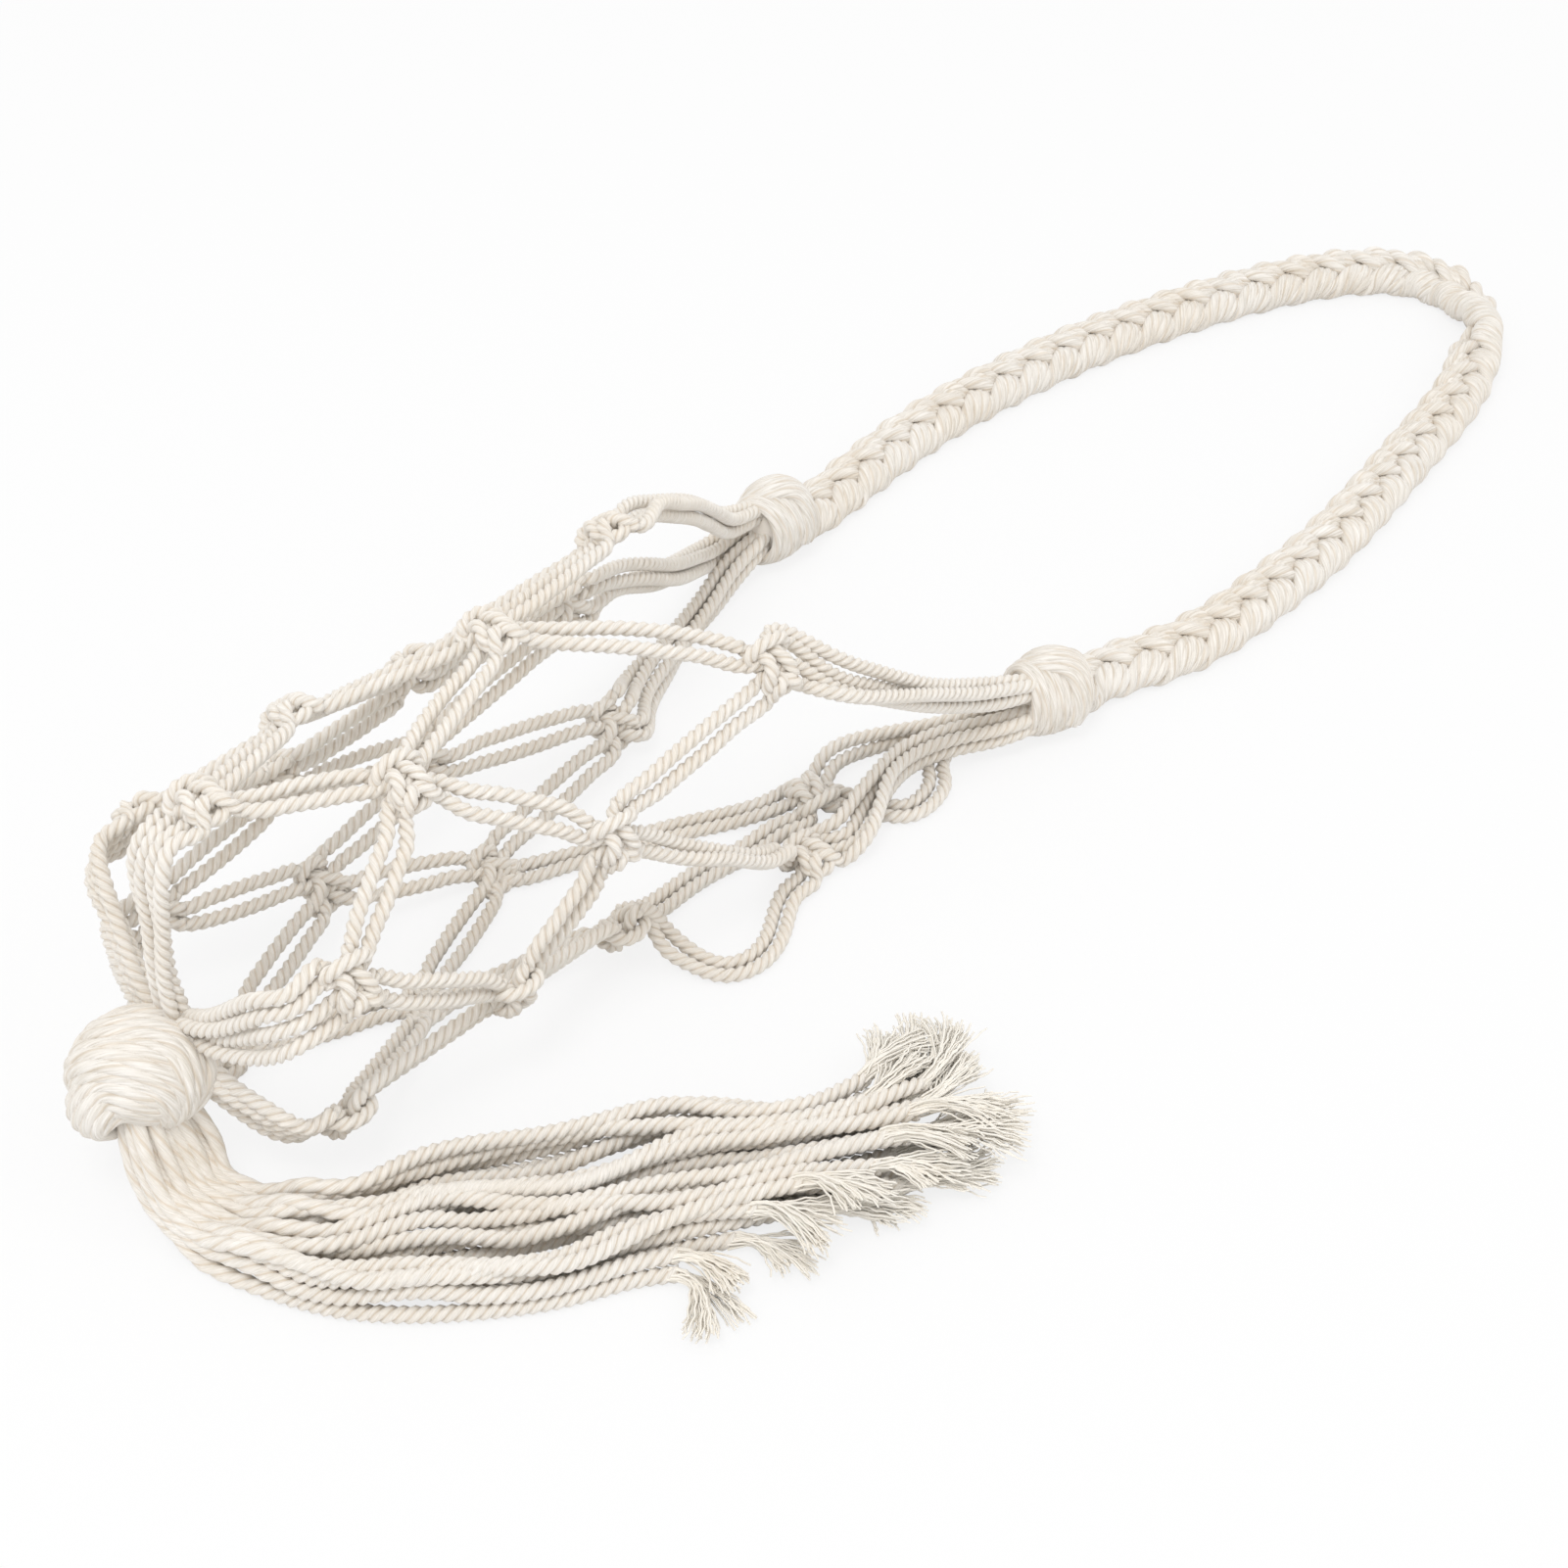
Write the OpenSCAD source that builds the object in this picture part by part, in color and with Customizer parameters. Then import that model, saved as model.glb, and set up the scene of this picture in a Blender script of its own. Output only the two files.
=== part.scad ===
// Knotted cord carrier for one bottle, lying on its side in the shape that it takes round the bottle.
// The origin is the centre of the bottle's base, +X runs along the bottle and +Z is up.

/* [Bottle] */
// Diameter of the bottle that the net is knotted for
bottle_d = 75; // [70:1:80]
// Height of the lying bottle's wall above the floor
bottle_lift = 4; // [4:0.1:6]

/* [Cord] */
// Diameter of the twisted cord
cord_d = 3.8; // [3.2:0.1:3.8]
// Clearance between the bottle's wall and the cords on it
wall_gap = 0.1; // [0.05:0.05:0.2]
// Extra spread of a pair of cords halfway between two knots
pair_spread = 1.2; // [0.4:0.1:3]

/* [Net] */
// Distance of the first row of knots from the bottle's base
row_a_x = 12.5; // [11:0.5:16]
// Distance of the second row of knots from the bottle's base
row_b_x = 51; // [45:1:56]
// Distance of the third row of knots from the bottle's base
row_c_x = 91; // [86:1:96]
// Distance of the last row of knots from the bottle's base
row_d_x = 143; // [136:1:146]
// Length of a net knot, measured round the bottle
knot_w = 13.5; // [12.5:0.5:15]
// Thickness of a net knot
knot_d = 9; // [8:0.5:10]

/* [Bottom knot and tassel] */
// Diameter of the big knot that gathers all the cords
ball_d = 31; // [28:0.5:33]
// Distance of the big knot's centre from the bottle's base
ball_out = 18.5; // [17:0.5:20]
// Distance of the big knot's centre from the bottle's axis, towards the near side
ball_side = 2.5; // [0:0.5:4]
// Distance of the big knot's centre below the bottle's axis
ball_drop = 10.5; // [8:0.5:11]
// Distance of the tassel's root beyond the big knot's centre
tassel_out = 3.5; // [2:0.5:5]
// Width of the tassel's cords where they leave the big knot
tassel_root_w = 18; // [16:0.5:20]
// Length of the frayed end of a tassel cord
fray_l = 18; // [8:1:25]

/* [Handle] */
// Distance of the handle knots from the bottle's base
hinge_x = 233; // [228:1:238]
// Distance of the near handle knot from the bottle's axis
near_knot_y = 43; // [40:1:46]
// Distance of the far handle knot from the bottle's axis
far_knot_y = 60; // [57:1:63]
// Thickness of a handle knot
grip_knot_d = 21; // [19:0.5:23]
// Width of a handle knot
grip_knot_w = 19; // [18:0.5:22]
// Running clearance between what swings and what holds it
swing_gap = 0.3; // [0.2:0.1:0.8]
// Diameter of one strand of the plait
strand_d = 5.2; // [4.8:0.1:5.3]
// Sideways swing of a strand in the plait
plait_side = 4.9; // [4.8:0.1:5.5]
// Rise and fall of a strand in the plait
plait_rise = 3.6; // [3.5:0.05:4.5]
// Length in which a strand of the plait repeats
plait_pitch = 37; // [34:1:44]

/* [Hidden] */
$fn = 32;

columns = 6;
cord_sides = 6;
strand_sides = 6;
bottle_r = bottle_d / 2;
cord_r = cord_d / 2;
cord_pitch = cord_d * 1.03;
bundle_pitch = cord_d * 1.08;
squeeze = 0.82;
floor_z = -bottle_r - bottle_lift;
net_r = bottle_r + wall_gap + cord_r;
knot_r = bottle_r + wall_gap + knot_d / 2;
knot_grip = knot_d * 0.28;
overrun = knot_w;
press_in = knot_d * 0.045;

// Rows of knots along the bottle, and each knot's own shift as a share of the mesh
row_x = [row_a_x, row_b_x, row_c_x, row_d_x];
shift_share = [
    [0, 0, 0.06, -0.04, 0, 0],
    [0, -0.04, -0.05, 0.12, 0, 0.03],
    [0, 0.06, -0.11, 0.1, 0, 0],
    [-0.03, 0.02, 0, 0, 0, 0]
];
// Angle of each knot round the bottle, from the far side over the top to the near side
knot_turn = [
    [22, 79, 154.5, 219, 288, 340],
    [0, 48, 112, 201, 258, 318],
    [15, 78, 162.5, 226, 290, 338],
    [2, 50, 141.6, 180, 180, 312]
];
// The last row's two slack knots lie on the floor: x, y and the angle that each is turned by
slack_column = 3;
slack_place = [[150.5, -37.5], [166, -22]];
slack_turn = [4, -8];

// Routes of the slack cords, by hand: x, y and the height above the floor
route_c3_d4 = [[90, -39, 49.5], [104, -40.2, 39.5], [119, -41, 28], [134, -39.5, 16], [143, -35.2, 8.5],
    [148, -33.8, 5]];
route_c4_d4 = [[99, -30.2, 14], [103, -35, 8.5], [105.5, -42, 3.6], [109.5, -49.5, 2.1], [117, -52.5, 2.1],
    [125, -50.5, 2.1], [132, -46, 2.1], [139, -42.8, 3], [148, -41.6, 4.5]];
route_c4_d5 = [[99, -24.5, 9], [107, -23.5, 5], [118, -22.5, 2.4], [131, -22.5, 2.1], [144, -24, 2.1],
    [154, -25, 3], [163, -25.9, 4.5]];
route_c5_d5 = [[95.5, 9.5, 2.05], [107, 5, 2.05], [120, -0.5, 2.05], [134, -6, 2.05], [147, -12.5, 2.1],
    [155, -16.4, 3], [163, -18, 4.5]];

// Routes of the six groups of four cords from the last row to the handle knots
neck_route = [
    [[157, 42.5, 40], [171, 46, 33], [186, 51.5, 23], [200, 57.9, 15.2], [212, 62.8, 8.9], [226, 64.1, 5]],
    [[157, 30, 69.5], [171, 36.5, 60.5], [186, 43.5, 48.5], [200, 50.5, 34.5], [213, 57, 20.5], [226, 60, 13.2]],
    [[157, -36, 58.5], [171, -39.8, 48], [187, -40.5, 36.5], [202, -40.5, 26], [214, -41.5, 18],
        [226, -43, 13.2]],
    [[161, -39.5, 4.2], [170, -38, 4.2], [180, -34.5, 4.2], [192, -34, 4.2], [204, -38.9, 4.3],
        [214, -43.8, 4.6], [226, -47.1, 5]],
    [[177, -20.5, 4.2], [188, -20.8, 4.2], [200, -25.5, 4.2], [211, -33.5, 4.6], [226, -38.9, 5]],
    [[157, 33.5, 7.6], [171, 41, 6], [186, 47.5, 4.3], [200, 52.3, 4.3], [212, 54.5, 4.7], [226, 55.9, 5]]
];

// The two edges of the fanned tassel on the floor, from its bend to its ends
tassel_left = [[-34, -18.5], [-33.5, -32], [-28, -48], [-18, -66], [-4, -82], [19, -102], [38, -116],
    [62, -132], [88, -148]];
tassel_right = [[-15, -18.5], [-11.5, -25], [-4, -33], [8, -41.5], [28, -50], [54, -60.5], [73, -75],
    [90, -93], [112, -112]];
// How far along the fan each of its cords reaches
tassel_end_share = [0.8, 0.9, 0.97, 1, 1, 0.99, 1, 0.96];
tassel_layers = 3;
tassel_columns = 8;

// The plait's loop on the floor, from the near handle knot round to the far one
plait_loop = [[262, -47], [276, -51.5], [293, -53.7], [314, -53.5], [338, -52], [367, -47.5], [400, -41],
    [430, -33], [454, -22.5], [470, -9], [476, 5], [473, 19], [461, 30], [435, 42], [401, 53], [364, 61.5],
    [325, 65.8], [304, 66.3], [282, 64.6], [262, 62]];

hinge_z = floor_z + grip_knot_d / 2;
ball_at = [-ball_out, -ball_side, -ball_drop];
tassel_cut = ball_d * 0.34;
plait_h = plait_rise + strand_d / 2 + wall_gap;

function unit(v) = v / norm(v);
function mix(a, b, t) = a * (1 - t) + b * t;
function above_floor(p) = [p[0], p[1], floor_z + p[2]];
function around(x, a, r) = [x, r * cos(a), r * sin(a)];
function outward(a) = [0, cos(a), sin(a)];
function across(a) = [0, -sin(a), cos(a)];

// Smooth curve through hand-chosen points, with a number of steps between two of them
function curve_point(p, i, t) =
    let (
        n = len(p) - 1,
        b = p[i],
        c = p[i + 1],
        a = i == 0 ? b * 2 - c : p[i - 1],
        d = i + 1 == n ? c * 2 - b : p[i + 2]
    )
    (b * 2 + (c - a) * t + (a * 2 - b * 5 + c * 4 - d) * t * t + (b * 3 - a - c * 3 + d) * t * t * t) / 2;
function curve(p, steps) = concat(
    [for (i = [0 : len(p) - 2]) for (k = [0 : steps - 1]) curve_point(p, i, k / steps)],
    [p[len(p) - 1]]
);

// Directions along a line of points, and across it with as little turning as the line allows
function heading(p) = [
    for (i = [0 : len(p) - 1]) unit(p[min(i + 1, len(p) - 1)] - p[max(i - 1, 0)])
];
function carried(along, first, i = 0, found = []) =
    i == len(along) ? found :
    let (side = unit(first - along[i] * (first * along[i])))
    carried(along, side, i + 1, concat(found, [side]));
function squared(v, along) = unit(v - along * (v * along));

// Tube of one closed solid: a ring of points at each place, with the ends flat
function ring_side(sides, k) = [cos(360 * k / sides), sin(360 * k / sides)];
module tube(places, along, side, radii, sides = cord_sides) {
    count = len(places);
    shell = [
        for (i = [0 : count - 1])
            for (k = [0 : sides - 1])
                let (c = ring_side(sides, k))
                places[i] + side[i] * (c[0] * radii[i]) + cross(along[i], side[i]) * (c[1] * radii[i])
    ];
    walls = [
        for (i = [0 : count - 2])
            for (k = [0 : sides - 1])
                let (a = i * sides + k, b = i * sides + (k + 1) % sides)
                each [[a, a + sides, b], [b, a + sides, b + sides]]
    ];
    last = (count - 1) * sides;
    caps = [for (k = [1 : sides - 2]) each [[0, k, k + 1], [last, last + k + 1, last + k]]];
    polyhedron(points = shell, faces = concat(walls, caps));
}
module cord(places, along, side) {
    tube(places, along, side, [for (p = places) cord_r]);
}

// Place of a net knot: how far along, at what angle and at what radius
function knot_x(row, col) = row_x[row] + shift_share[row][col % columns] * (row_b_x - row_a_x);
function knot_angle(row, col) = knot_turn[row][col % columns] + 360 * floor(col / columns);
function squashed_r(a) = (bottle_r * -sin(a) - floor_z) / 2 / -sin(a) - press_in;
function knot_reach(a) = sin(a) < 0 ? min(knot_r, squashed_r(a)) : knot_r;
function is_slack(row, col) = row == 3 && (col == slack_column || col == slack_column + 1);

module knot_shape() {
    bar_r = knot_d / 3;
    loop_r = knot_w / 6;
    rotate_extrude() intersection() {
        union() {
            translate([knot_d / 2 - bar_r, 0]) circle(r = bar_r);
            for (s = [-1, 1]) translate([knot_d * 0.2, s * (knot_w / 2 - loop_r)]) circle(r = loop_r);
            translate([0, -knot_w / 2 + loop_r]) square([knot_d * 0.3, knot_w - 2 * loop_r]);
            translate([0, -knot_w / 2]) square([knot_d * 0.2, knot_w]);
        }
        translate([0, -knot_w]) square([knot_w, knot_w * 2]);
    }
}
module below_floor() {
    translate([-ball_out - ball_d, -hinge_x, floor_z - overrun]) cube([hinge_x * 4, hinge_x * 2, overrun]);
}
module bottle_space() {
    rotate([0, 90, 0]) cylinder(r = bottle_r + wall_gap, h = row_d_x + knot_w, $fn = 64);
}
module net_knot(row, col) {
    color("ivory") {
        if (is_slack(row, col)) {
            i = col - slack_column;
            translate([slack_place[i][0], slack_place[i][1], floor_z + knot_d * 0.49])
                difference() {
                    rotate([90, 0, slack_turn[i]]) knot_shape();
                    translate([-knot_w, -knot_w, -knot_d * 0.49 - overrun]) cube([knot_w * 2, knot_w * 2, overrun]);
                }
        } else {
            a = knot_turn[row][col];
            difference() {
                translate(around(knot_x(row, col), a, knot_reach(a))) rotate([a, 0, 0]) knot_shape();
                bottle_space();
                if (sin(a) < 0) below_floor();
            }
        }
    }
}

// One cord of a pair that runs on the bottle from a knot to one in the next row
function mesh_place(row, col, next, way, k, t) =
    let (
        arc = 180 / (PI * net_r),
        x1 = knot_x(row, col) + knot_grip,
        x2 = knot_x(row + 1, next) - knot_grip,
        s1 = knot_angle(row, col) / arc + way * cord_pitch,
        s2 = knot_angle(row + 1, next) / arc - way * cord_pitch,
        run = norm([x2 - x1, s2 - s1]),
        off = k * (cord_pitch + pair_spread * sin(180 * t)) / 2,
        x = mix(x1, x2, t) - off * (s2 - s1) / run,
        s = mix(s1, s2, t) + off * (x2 - x1) / run
    )
    around(x, s * arc, net_r);
module mesh_pair(row, col, next, way) {
    steps = 3;
    for (k = [-1, 1]) {
        places = [for (i = [0 : steps]) mesh_place(row, col, next, way, k, i / steps)];
        along = heading(places);
        cord(places, along, carried(along, outward(knot_turn[row][col % columns])));
    }
}
// Two cords side by side along a slack route, turned level on the way to the floor
module slack_pair(route, first_side) {
    line = [for (p = route) above_floor(p)];
    along = heading(line);
    top = len(line) - 1;
    way = cross([0, 0, 1], along[0]) * first_side < 0 ? -1 : 1;
    side = [
        for (i = [0 : top])
            squared(mix(first_side, cross([0, 0, 1], along[i]) * way, min(1, 2 * i / top)), along[i])
    ];
    for (k = [-1, 1])
        cord([for (i = [0 : top]) line[i] + side[i] * (k * cord_pitch / 2)], along, side);
}

// Knots of odd rows sit between those of even rows
function next_column(row, col, way) = col + (way + 1) / 2 - (row == 1 ? 1 : 0);
module mesh_cords(row) {
    color("ivory") for (col = [0 : columns - 1]) for (way = [-1, 1]) {
        next = next_column(row, col, way);
        if (!is_slack(row + 1, next))
            mesh_pair(row, next < 0 ? col + columns : col, next < 0 ? next + columns : next, way);
    }
}
module mesh_cords_ab() { mesh_cords(0); }
module mesh_cords_bc() { mesh_cords(1); }
module mesh_cords_cd() {
    mesh_cords(2);
    color("ivory") {
        slack_pair(route_c3_d4, across(knot_turn[2][2]));
        slack_pair(route_c4_d4, [1, 0, 0]);
        slack_pair(route_c4_d5, [0, 1, 0]);
        slack_pair(route_c5_d5, [0, 1, 0]);
    }
}

// Four cords lie side by side at a knot and close up to a square bundle as fold goes from 90 to 0
function bundle_offset(k, fold) =
    let (s = k % 2 == 0 ? -1 : 1)
    (k < 2 ? [s * 0.5, -0.5 * cos(fold)] : [s * (0.5 + sin(fold)), 0.5 * cos(fold)]) * bundle_pitch;
module bundle(places, along, side, folds, tight) {
    for (k = [0 : 3])
        tube([
            for (i = [0 : len(places) - 1])
                let (o = bundle_offset(k, folds[i]) * tight[i])
                places[i] + side[i] * o[0] + cross(side[i], along[i]) * o[1]
        ], along, side, cord_r * tight);
}

// Groups of four cords from the big knot, over the bottle's rim to the first row
module base_cords(col) {
    a = knot_turn[0][col];
    root_a = 360 / columns * col;
    near_a = a - root_a > 180 ? root_a + 360 : root_a;
    flat_x = -wall_gap - bundle_pitch;
    rim_r = bottle_r - cord_r;
    start = ball_at + around(ball_d * 0.35, near_a, ball_d * 0.265);
    spread = around(flat_x - cord_r, mix(near_a, a, 0.6), bottle_r * 0.55);
    places = [
        start,
        mix(start, spread, 0.5),
        spread,
        around(flat_x, a, bottle_r * 0.8),
        around(-wall_gap - cord_r, a, rim_r),
        around(cord_r, a, net_r),
        around(knot_x(0, col) - knot_grip, a, net_r)
    ];
    top = len(places) - 1;
    along = [for (i = [0 : top]) i == top ? [1, 0, 0] : heading(places)[i]];
    folds = [0, 0, 30, 60, 90, 90, 90];
    tight = [squeeze, mix(squeeze, 1, 0.5), 1, 1, 1, 1, 1];
    side = [for (i = [0 : top]) squared(across(mix(near_a, a, i / top)), along[i])];
    color("ivory") bundle(places, along, side, folds, tight);
}

// Groups of four cords from the last row to the handle knots
module neck_cords(col) {
    slack = is_slack(3, col);
    a = knot_turn[3][col];
    first = slack ? [0, -1, 0] : across(a);
    last = [0, first[1] > 0 ? 1 : -1, 0];
    start = slack
        ? concat(slack_place[col - slack_column], [floor_z + knot_d / 2]) + [knot_grip, 0, 0]
        : around(knot_x(3, col) + knot_grip, a, net_r);
    places = concat([start], [for (p = neck_route[col]) above_floor(p)]);
    top = len(places) - 1;
    along = [for (i = [0 : top]) i == 0 || i == top ? [1, 0, 0] : heading(places)[i]];
    side = [for (i = [0 : top]) squared(mix(first, last, min(1, i / (top - 1))), along[i])];
    folds = [for (i = [0 : top]) max(0, 90 - 30 * i)];
    color("ivory") bundle(places, along, side, folds, [for (p = places) 1]);
}

// The big knot: crossing turns of the whole bundle, flat where the tassel leaves
module bottom_knot() {
    turn_r = ball_d / 4;
    color("ivory") translate(ball_at) difference() {
        union() {
            sphere(r = ball_d * 0.46);
            for (tilt = [[35, 0, 25], [-50, 20, 0]])
                rotate(tilt) rotate_extrude() translate([ball_d / 2 - turn_r * 0.9, 0]) circle(r = turn_r * 0.9);
        }
        translate([-ball_d, -ball_d, -ball_d - tassel_cut]) cube([ball_d * 2, ball_d * 2, ball_d]);
    }
}

// A handle knot: three turns of the bundle about the line that the handle swings on
module handle_knot(y) {
    turn_r = grip_knot_d * 0.2;
    step = (grip_knot_w - 2 * turn_r) / 2;
    color("ivory") translate([hinge_x, y, hinge_z]) rotate([90, 0, 0]) rotate_extrude() {
        for (s = [-1 : 1]) translate([grip_knot_d / 2 - turn_r, s * step]) circle(r = turn_r);
        translate([0, -grip_knot_w / 2]) square([grip_knot_d / 2 - turn_r, grip_knot_w]);
        translate([0, -step]) square([grip_knot_d * 0.44, step * 2]);
    }
}
module near_handle_knot() { handle_knot(-near_knot_y); }
module far_handle_knot() { handle_knot(far_knot_y); }

// The plait: three strands that cross in turn along the loop
plait_start = hinge_x + grip_knot_d / 2 + swing_gap;
plait_line = curve(concat(
    [[plait_start, -near_knot_y], [plait_start + grip_knot_d * 0.4, -near_knot_y - cord_r * 0.6]],
    plait_loop,
    [[plait_start + grip_knot_d * 0.4, far_knot_y + cord_r * 0.4], [plait_start, far_knot_y]]
), 4);
function running(p, i = 0, sum = 0, found = []) =
    i == len(p) ? found :
    let (s = i == 0 ? 0 : sum + norm(p[i] - p[i - 1]))
    running(p, i + 1, s, concat(found, [s]));
plait_s = running(plait_line);
plait_l = plait_s[len(plait_s) - 1];
plait_turns = round(plait_l / plait_pitch);
rings_per_pitch = 9;
plait_steps = plait_turns * rings_per_pitch;
plait_x = [for (i = [0 : len(plait_s) - 1]) [plait_s[i], plait_line[i][0]]];
plait_y = [for (i = [0 : len(plait_s) - 1]) [plait_s[i], plait_line[i][1]]];
function plait_at(s) = [lookup(s, plait_x), lookup(s, plait_y), floor_z + plait_h];
module plait_strand(n) {
    step = plait_l / plait_steps;
    middle = [for (i = [0 : plait_steps]) plait_at(i * step)];
    along = [
        for (i = [0 : plait_steps])
            i == 0 ? [1, 0, 0] : i == plait_steps ? [-1, 0, 0] : heading(middle)[i]
    ];
    places = [
        for (i = [0 : plait_steps])
            let (phase = 360 * (i / rings_per_pitch + n / 3), left = cross([0, 0, 1], along[i]))
            middle[i] + left * (plait_side * sin(phase)) + [0, 0, plait_rise * sin(2 * phase)]
    ];
    up = [for (p = places) [0, 0, 1]];
    color("linen") tube(places, along, up, [for (p = places) strand_d / 2], strand_sides);
}

// The tassel: layers of cords that leave the big knot downwards, bend and fan out on the floor
tassel_top = -ball_drop - tassel_cut - swing_gap;
function tassel_r(width) = min(cord_r, width / (tassel_columns - 1) / 2 * 0.92);
function layer_lift(layer, r) = r + layer * 2.06 * r;
function fan_point(t, col) =
    let (
        n = len(tassel_left) - 1,
        i = min(floor(t * n), n - 1),
        u = t * n - i,
        l = curve_point(tassel_left, i, u),
        r = curve_point(tassel_right, i, u)
    )
    concat(mix(l, r, col / (tassel_columns - 1)), [norm(r - l)]);
function tassel_cord(layer, col) =
    let (
        root_r = tassel_r(tassel_root_w),
        lift = layer_lift(layer, root_r),
        turn_r = tassel_top - floor_z - lift,
        mid_r = tassel_top - floor_z - layer_lift(1, root_r),
        x = -ball_out - tassel_out + (col / (tassel_columns - 1) - 0.5) * tassel_root_w,
        far = tassel_end_share[col] - layer * 0.02,
        bend = [
            for (a = [0, 30, 60])
                [x, -mid_r + turn_r * cos(a), tassel_top - turn_r * sin(a), root_r]
        ],
        fan = [
            for (i = [0 : 7])
                let (p = fan_point(far * (0.012 + 0.988 * i / 7), col), r = tassel_r(p[2]))
                [p[0], p[1], floor_z + wall_gap + layer_lift(layer, r), r]
        ]
    )
    concat(bend, fan);
function first_three(p) = [p[0], p[1], p[2]];
function tassel_heading(line) = [
    for (i = [0 : len(line) - 1]) i == 0 ? [0, 0, -1] : heading(line)[i]
];
module tassel_cords(layer) {
    color("ivory") for (col = [0 : tassel_columns - 1]) {
        path = tassel_cord(layer, col);
        line = [for (p = path) first_three(p)];
        along = tassel_heading(line);
        tube(line, along, carried(along, [1, 0, 0]), [for (p = path) p[3]]);
    }
}
module tassel_fringe() {
    color("white") for (layer = [0 : tassel_layers - 1]) for (col = [0 : tassel_columns - 1]) {
        path = tassel_cord(layer, col);
        line = [for (p = path) first_three(p)];
        along = tassel_heading(line);
        n = len(line) - 1;
        side = carried(along, [1, 0, 0]);
        ahead = squared(along[n], [0, 0, 1]);
        tube([line[n], line[n] + ahead * fray_l], [along[n], along[n]], [side[n], side[n]],
            [path[n][3], path[n][3] * 0.98]);
    }
}

net_knot(0, 0);  // knot_a1
net_knot(0, 1);  // knot_a2
net_knot(0, 2);  // knot_a3
net_knot(0, 3);  // knot_a4
net_knot(0, 4);  // knot_a5
net_knot(0, 5);  // knot_a6
net_knot(1, 0);  // knot_b1
net_knot(1, 1);  // knot_b2
net_knot(1, 2);  // knot_b3
net_knot(1, 3);  // knot_b4
net_knot(1, 4);  // knot_b5
net_knot(1, 5);  // knot_b6
net_knot(2, 0);  // knot_c1
net_knot(2, 1);  // knot_c2
net_knot(2, 2);  // knot_c3
net_knot(2, 3);  // knot_c4
net_knot(2, 4);  // knot_c5
net_knot(2, 5);  // knot_c6
net_knot(3, 0);  // knot_d1
net_knot(3, 1);  // knot_d2
net_knot(3, 2);  // knot_d3
net_knot(3, 3);  // knot_d4
net_knot(3, 4);  // knot_d5
net_knot(3, 5);  // knot_d6
base_cords(0);  // base_cords_1
base_cords(1);  // base_cords_2
base_cords(2);  // base_cords_3
base_cords(3);  // base_cords_4
base_cords(4);  // base_cords_5
base_cords(5);  // base_cords_6
mesh_cords_ab();
mesh_cords_bc();
mesh_cords_cd();
neck_cords(0);  // neck_cords_1
neck_cords(1);  // neck_cords_2
neck_cords(2);  // neck_cords_3
neck_cords(3);  // neck_cords_4
neck_cords(4);  // neck_cords_5
neck_cords(5);  // neck_cords_6
bottom_knot();
near_handle_knot();
far_handle_knot();
plait_strand(0);  // plait_strand_1
plait_strand(1);  // plait_strand_2
plait_strand(2);  // plait_strand_3
tassel_cords(0);  // tassel_cords_lower
tassel_cords(1);  // tassel_cords_middle
tassel_cords(2);  // tassel_cords_upper
tassel_fringe();
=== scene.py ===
import math
import random

import bmesh
import bpy
import numpy as np
from mathutils import Matrix, Vector


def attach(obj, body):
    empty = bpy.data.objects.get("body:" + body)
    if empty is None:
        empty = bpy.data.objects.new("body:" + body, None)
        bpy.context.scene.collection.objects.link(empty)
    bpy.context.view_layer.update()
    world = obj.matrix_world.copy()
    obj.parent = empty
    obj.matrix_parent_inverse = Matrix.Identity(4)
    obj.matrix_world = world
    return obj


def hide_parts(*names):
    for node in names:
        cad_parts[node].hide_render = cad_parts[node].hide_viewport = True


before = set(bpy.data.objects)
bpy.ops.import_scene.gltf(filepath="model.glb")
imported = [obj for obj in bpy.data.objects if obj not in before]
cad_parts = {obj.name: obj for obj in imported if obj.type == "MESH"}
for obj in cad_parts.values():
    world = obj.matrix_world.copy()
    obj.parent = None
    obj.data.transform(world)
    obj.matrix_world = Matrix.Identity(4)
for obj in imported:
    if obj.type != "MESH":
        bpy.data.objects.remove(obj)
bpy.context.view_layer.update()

mm = 0.001
floorZ = -41.5      # the carrier lies on the floor, in mm under the middle of the net
scene = bpy.context.scene
scene.view_settings.view_transform = "Standard"


def addObject(name, data):
    added = bpy.data.objects.new(name, data)
    scene.collection.objects.link(added)
    return added


# The camera stands where the photograph was taken from

cameraSetup = {
    "lens": 63.48,
    "sensor": 36.0,
    "place": (-0.1980, -0.3841, 0.4441),
    "turn": (47.05, 0.0, -44.395),
    "sees": (0.01, 20.0),
}


def setCamera(setup):
    data = bpy.data.cameras.new("camera")
    data.lens = setup["lens"]
    data.sensor_width = setup["sensor"]
    data.clip_start, data.clip_end = setup["sees"]
    camera = addObject("camera", data)
    camera.location = setup["place"]
    camera.rotation_euler = [math.radians(a) for a in setup["turn"]]
    scene.camera = camera


setCamera(cameraSetup)


# Directions, with angles in degrees round the net, from the far side over the top to the near side

def unit(v):
    v = np.asarray(v, float)
    return v / np.linalg.norm(v)


def around(x, angle, r):
    return np.array([x, r * math.cos(math.radians(angle)), r * math.sin(math.radians(angle))])


def across(angle):
    return np.array([0.0, -math.sin(math.radians(angle)), math.cos(math.radians(angle))])


def squared(v, along):
    return unit(v - along * np.dot(v, along))


def leftOf(ahead):
    return np.cross([0, 0, 1], ahead)


def headings(points):
    last = len(points) - 1
    return [unit(points[min(i + 1, last)] - points[max(i - 1, 0)]) for i in range(last + 1)]


def aboveFloor(points):
    return [np.array([p[0], p[1], floorZ + p[2]]) for p in points]


# Shares, and lengths along a line

def mix(a, b, t):
    return a * (1 - t) + b * t


def smoothShare(t):
    return t * t * (3 - 2 * t)


def ramp(run, first, length):
    return np.clip((run - first) / length, 0, 1)


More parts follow.
